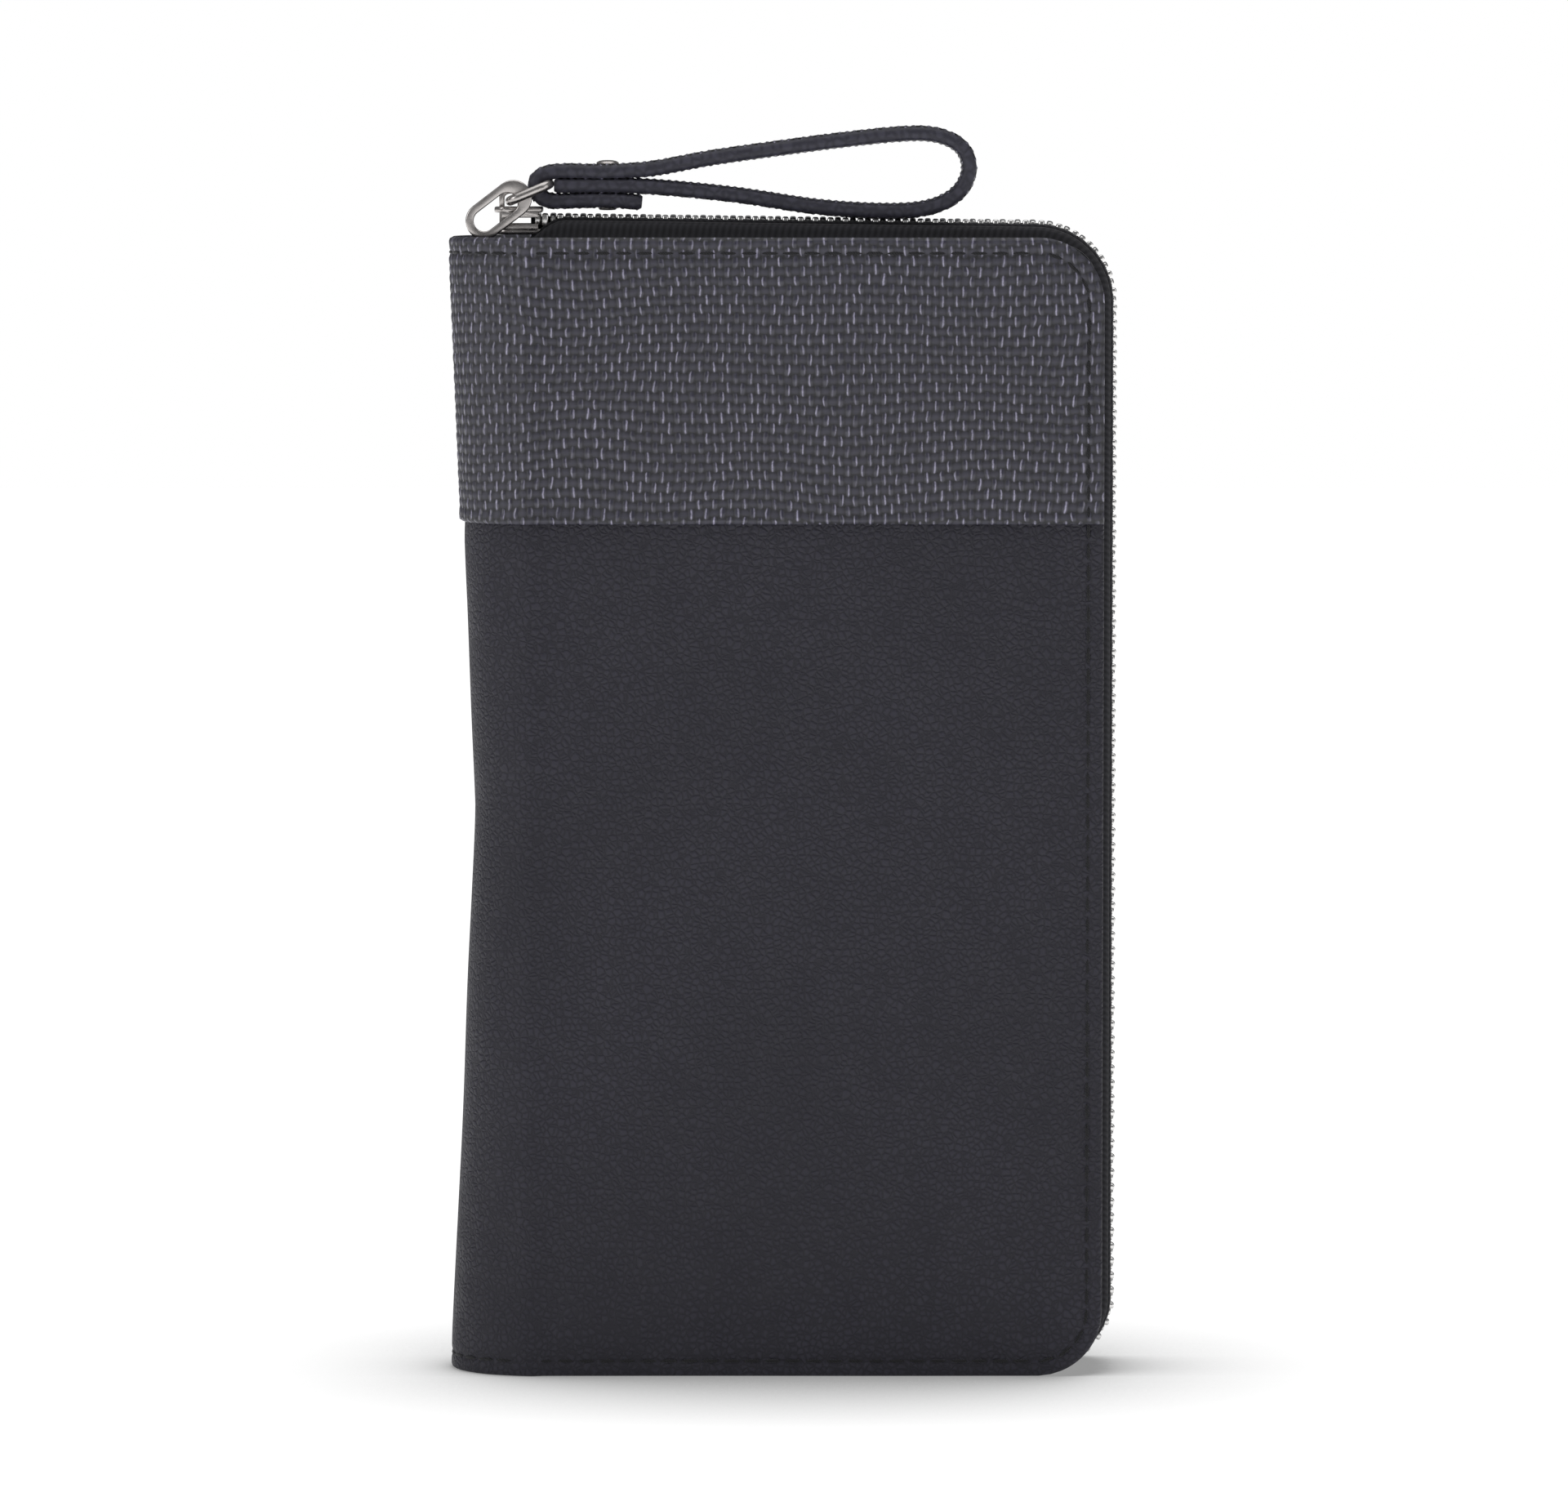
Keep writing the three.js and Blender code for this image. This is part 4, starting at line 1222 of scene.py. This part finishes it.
class ORGANIZER_OT_pockets(bpy.types.Operator):
    """Adds the card slots and pockets inside both covers"""

    bl_idname = "organizer.pockets"
    bl_label = "Pockets"

    def execute(self, context):
        for k in range(1, 7):
            names = f"card_pocket_{k}", f"card_slot_{k}"
            sewn_panel(*names, -1, smooth_leather(), "pocket_leather", "front")
        sewn_panel("slip_pocket_panel", "slip_pocket", -1, lining_cloth(), "pocket_fabric", "front")
        for node in ("passport_pocket", "ticket_pocket"):
            sewn_panel(f"{node}_panel", node, 1, smooth_leather(), "pocket_leather", "back")
        for node in ("coin_pocket_upper_panel", "coin_pocket_lower_panel"):
            sewn_panel(f"{node}_cloth", node, 1, lining_cloth(), "pocket_fabric", "back")
        return {"FINISHED"}


class ORGANIZER_OT_linings(bpy.types.Operator):
    """Adds the linings of the covers and the spine, and the zip's end tabs"""

    bl_idname = "organizer.linings"
    bl_label = "Linings"

    def execute(self, context):
        for name, side in SIDES.items():
            sewn_panel(f"{name}_lining_cloth", f"{name}_lining", side, lining_cloth(), "lining", name)
        low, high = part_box("spine_lining")
        inset = LEFT - spine_low.x - (LEFT - low.x)

        def place(u, v):
            depth = spine_depth(v) - inset
            return np.stack([LEFT + depth * np.cos(u), (high.y) * np.sin(u), v], 1)

        us = np.linspace(math.pi / 2 + 0.04, 1.5 * math.pi - 0.04, 33)
        shell = surface(
            "spine_lining_cloth", us, np.linspace(low.z, high.z, 40), place, lambda u, v: (u * HALF, v)
        )
        shell = smooth(solidify(face_away(shell, (LEFT, 0, TOP / 2)), 0.6 * MM), 50)
        dress(shell, lining_cloth(), "spine", ["spine_lining"])
        for end in ("top", "bottom"):
            self.end_tab(end)
        return {"FINISHED"}

    def end_tab(self, end):
        low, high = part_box(f"zip_end_tab_{end}")
        outline = [(high.x, high.y), (high.x, low.y)]
        for turn in np.linspace(-math.pi / 2, -1.5 * math.pi, 15)[1:-1]:
            outline.append((high.x + (high.x - low.x) * math.cos(turn), high.y * math.sin(turn)))
        tab = lay_flat(extruded_outline(f"end_tab_{end}", outline, low.z, high.z))
        tab = smooth(soften(tab, 0.25 * MM, 3), 40)
        dress(tab, smooth_leather(), "spine", [f"zip_end_tab_{end}"])


class ORGANIZER_OT_coin_zip(bpy.types.Operator):
    """Adds the coin pocket's teeth, tape, slider and pull"""

    bl_idname = "organizer.coin_zip"
    bl_label = "Coin Zip"

    def execute(self, context):
        upper_low, upper_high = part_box("coin_zip_upper_teeth")
        lower_low, lower_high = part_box("coin_zip_lower_teeth")
        middle_z = (upper_low.z + lower_high.z) / 2
        y = (upper_low.y + upper_high.y) / 2
        pitch = 1.6 * MM
        for name, up in (("upper", 1), ("lower", -1)):
            shift = 0 if up > 0 else pitch / 2
            spots = np.arange(upper_low.x + shift, upper_high.x, pitch)
            places = [((x, y, middle_z), (1, 0, 0), (0, -1, 0), (0, 0, up)) for x in spots]
            tooth = tooth_template()
            for vertex in tooth.data.vertices:
                vertex.co *= 0.62
            obj = copies(f"coin_teeth_{name}", tooth, places)
            dress(obj, zip_nickel(), "back", [f"coin_zip_{name}_teeth"])
            edges = sorted((middle_z + up * 1.25 * MM, middle_z + up * 2.9 * MM))
            tape_low = (upper_low.x - 3 * MM, y - 0.2 * MM, edges[0])
            tape_high = (upper_high.x + 2 * MM, y + 0.2 * MM, edges[1])
            tape = box_piece(f"coin_tape_{name}", tape_low, tape_high)
            dress(smooth(soften(tape, 0.12 * MM, 2), 40), zip_cloth(), "back")
        self.slider()
        return {"FINISHED"}

    def slider(self):
        low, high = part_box("coin_zip_slider")
        pivot = joint_point("coin_pull_swing")
        x, roof, base = pivot.x, low.y, 5.2 * MM

        def block(name, x0, x1, y0, y1, half_height):
            return box_piece(name, (x0, y0, pivot.z - half_height), (x1, y1, pivot.z + half_height))

        plate = x - 3.2 * MM, x + 3.2 * MM
        cap = block("roof", x - 1.4 * MM, x + 1.4 * MM, roof, roof + 0.5 * MM, 0.7 * MM)
        parts = [
            soften(block("front_plate", *plate, 5.1 * MM, 5.65 * MM, 2.4 * MM), 0.2 * MM, 3),
            soften(block("rear_plate", *plate, 7.4 * MM, high.y, 2.4 * MM), 0.15 * MM, 2),
            block("post", low.x + 0.1 * MM, low.x + 1.7 * MM, base, high.y - 0.1 * MM, 0.35 * MM),
            soften(cap, 0.15 * MM, 2),
            block("leg", x - 1.38 * MM, x - 0.8 * MM, roof + 0.1 * MM, base, 0.65 * MM),
            block("leg", x + 0.8 * MM, x + 1.38 * MM, roof + 0.1 * MM, base, 0.65 * MM),
        ]
        body = smooth(union("coin_slider_body", parts), 35)
        dress(body, satin_nickel(), "coin_slider", ["coin_zip_slider"])
        pull_low, pull_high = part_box("coin_zip_pull")
        outer, hole = (
            [(x + a, pivot.z + b) for a, b in stadium(*ends, half, 8)]
            for ends, half in (((pull_low.x - x, pull_high.x - x), 2 * MM), ((0.4 * MM, 2.6 * MM), 1.0 * MM))
        )
        pull = extruded_outline("coin_pull_tab", outer, pull_low.y, pull_high.y, hole)
        pull = smooth(soften(pull, 0.15 * MM, 2), 40)
        dress(pull, satin_nickel(), "coin_pull", ["coin_zip_pull"])


# ---- stage ---------------------------------------------------------------------------------------
def area_light(name, place, aim, size, power, tall=None):
    data = bpy.data.lights.new(name, "AREA")
    data.energy = power
    data.size = size
    if tall:
        data.shape = "RECTANGLE"
        data.size_y = tall
    obj = bpy.data.objects.new(name, data)
    obj.location = place
    obj.rotation_euler = (Vector(aim) - Vector(place)).to_track_quat("-Z", "Y").to_euler()
    bpy.context.scene.collection.objects.link(obj)


class ORGANIZER_OT_stage(bpy.types.Operator):
    """Adds the camera, the soft lights and the pale floor, which glows and has a painted contact shadow"""

    bl_idname = "organizer.stage"
    bl_label = "Stage"

    def execute(self, context):
        self.camera()
        self.floor()
        aim = (0, 0, TOP / 2)
        area_light("key_softbox", (-0.85, -0.55, 0.55), aim, 0.5, 2.1)
        area_light("fill_softbox", (0.85, -0.5, 0.4), aim, 0.5, 0.9)
        area_light("top_softbox", (0.0, -0.05, 0.95), (0, 0, 0.1), 0.9, 3.0)
        self.world()
        view = bpy.context.scene.view_settings
        view.view_transform = "Standard"
        view.look = "None"
        return {"FINISHED"}

    def camera(self):
        data = bpy.data.cameras.new("camera")
        obj = bpy.data.objects.new("camera", data)
        bpy.context.scene.collection.objects.link(obj)
        bpy.context.scene.camera = obj
        distance, elevation = 1.5, math.radians(4.5)
        shown_width = 0.2605
        aim = Vector((0.0002, -HALF, 0.1045))
        obj.location = aim + Vector((0, -math.cos(elevation), math.sin(elevation))) * distance
        obj.rotation_euler = (aim - obj.location).to_track_quat("-Z", "Y").to_euler()
        data.sensor_width = 36
        data.lens = data.sensor_width * distance / shown_width
        data.clip_start, data.clip_end = 0.05, 50

    def floor(self):
        deselect()
        bpy.ops.mesh.primitive_plane_add(size=6)
        floor = bpy.context.active_object
        floor.name = "studio_floor"
        # Painted light and shadow: the floor glows white though it is no lamp, its own colour is nearly
        # black, and ambient occlusion dims the glow near the wallet into a painted contact shadow.
        n = Nodes("glowing_floor_painted_shadow", specular=0.1)
        n.shader.inputs["Emission Color"].default_value = (1, 1, 1, 1)
        near = n.add("ShaderNodeAmbientOcclusion", {"Distance": 0.075}, samples=16).outputs["AO"]
        n.put(n.shader.inputs["Emission Strength"], n.range(near, 0.5, 1.0, 0.3, 1.1))
        shade = n.mix(n.noise(3.0), (0.05, 0.05, 0.05, 1), (0.06, 0.06, 0.06, 1))
        floor.data.materials.append(n.finish(shade, 0.9))

    def world(self):
        world = bpy.data.worlds.new("studio")
        bpy.context.scene.world = world
        world.use_nodes = True
        tree = world.node_tree
        tree.nodes.clear()
        seen = tree.nodes.new("ShaderNodeBackground")
        lit = tree.nodes.new("ShaderNodeBackground")
        for node, strength, color in ((seen, 1.0, (1, 1, 1, 1)), (lit, 0.16, (0.97, 0.98, 1, 1))):
            node.inputs["Strength"].default_value = strength
            node.inputs["Color"].default_value = color
        path = tree.nodes.new("ShaderNodeLightPath")
        mix = tree.nodes.new("ShaderNodeMixShader")
        out = tree.nodes.new("ShaderNodeOutputWorld")
        tree.links.new(path.outputs["Is Camera Ray"], mix.inputs[0])
        tree.links.new(lit.outputs[0], mix.inputs[1])
        tree.links.new(seen.outputs[0], mix.inputs[2])
        tree.links.new(mix.outputs[0], out.inputs[0])


# ---- settings, panel and registration ---------------------------------------------------------
def length_setting(name, description, default):
    kind = {"subtype": "DISTANCE", "unit": "LENGTH", "precision": 5}
    return FloatProperty(name=name, description=description, default=default, **kind)


def colour_setting(name, description, default):
    kind = {"subtype": "COLOR", "min": 0, "max": 1}
    return FloatVectorProperty(name=name, description=description, default=default, **kind)


class OrganizerSettings(bpy.types.PropertyGroup):
    """Sizes and colours of the organizer"""

    stitch_pitch: length_setting("Stitch pitch", "Distance from one stitch to the next", 3.46 * MM)
    stitch_inset: length_setting("Stitch inset", "Distance from the cover's edge to its seam", 2.6 * MM)
    tooth_pitch: length_setting("Tooth pitch", "Distance between two teeth of one row", 2.5 * MM)
    weave_width: length_setting("Weave width", "Width of one cell of the weave", 1.2225 * MM)
    weave_height: length_setting("Weave height", "Height of one cell of the weave", 1.626 * MM)
    leather: colour_setting("Leather", "Colour of the smooth leather", (0.0267, 0.0253, 0.0368))
    weave_dark: colour_setting("Weave ground", "Colour of the crossing threads", (0.0378, 0.0362, 0.0555))
    # The colour of the painted highlight strokes on the upright floats; the floats' own colour is the weave
    # ground's.
    weave_highlight: colour_setting("Weave floats", "Colour of the upright floats", (0.43, 0.41, 0.55))
    strap_edge: colour_setting("Strap edge", "Colour of the strap's painted edge", (0.05, 0.049, 0.068))
    tape: colour_setting("Zip tape", "Colour of the zip's tape", (0.03, 0.0295, 0.034))
    lining: colour_setting("Lining", "Colour of the lining cloth", (0.02, 0.02, 0.024))
    thread: colour_setting("Thread", "Colour of the stitches", (0.011, 0.011, 0.013))
    nickel: colour_setting("Nickel", "Colour of the slider, ring and tab", (0.56, 0.53, 0.515))
    zip_nickel: colour_setting("Zip nickel", "Colour of the zip's teeth", (0.86, 0.85, 0.84))


PIECES = (
    ORGANIZER_OT_outer_leather,
    ORGANIZER_OT_woven_bands,
    ORGANIZER_OT_cover_stitching,
    ORGANIZER_OT_turned_edges,
    ORGANIZER_OT_zip_tapes,
    ORGANIZER_OT_zip_teeth,
    ORGANIZER_OT_pull_hardware,
    ORGANIZER_OT_wrist_strap,
    ORGANIZER_OT_linings,
    ORGANIZER_OT_pockets,
    ORGANIZER_OT_coin_zip,
    ORGANIZER_OT_stage,
)


class ORGANIZER_PT_panel(bpy.types.Panel):
    """Lists the organizer's pieces and settings"""

    bl_label = "Document Organizer"
    bl_space_type = "VIEW_3D"
    bl_region_type = "UI"
    bl_category = "Organizer"

    def draw(self, context):
        for each in PIECES:
            self.layout.operator(each.bl_idname)
        for setting in OrganizerSettings.__annotations__:
            self.layout.prop(context.scene.organizer, setting)


CLASSES = (OrganizerSettings, *PIECES, ORGANIZER_PT_panel)


def register():
    for each in CLASSES:
        bpy.utils.register_class(each)
    bpy.types.Scene.organizer = PointerProperty(type=OrganizerSettings)


def unregister():
    del bpy.types.Scene.organizer
    for each in reversed(CLASSES):
        bpy.utils.unregister_class(each)


def main():
    register()
    bpy.ops.organizer.outer_leather()
    bpy.ops.organizer.woven_bands()
    bpy.ops.organizer.cover_stitching()
    bpy.ops.organizer.turned_edges()
    bpy.ops.organizer.zip_tapes()
    bpy.ops.organizer.zip_teeth()
    bpy.ops.organizer.pull_hardware()
    bpy.ops.organizer.wrist_strap()
    bpy.ops.organizer.linings()
    bpy.ops.organizer.pockets()
    bpy.ops.organizer.coin_zip()
    bpy.ops.organizer.stage()


if __name__ == "__main__":
    main()
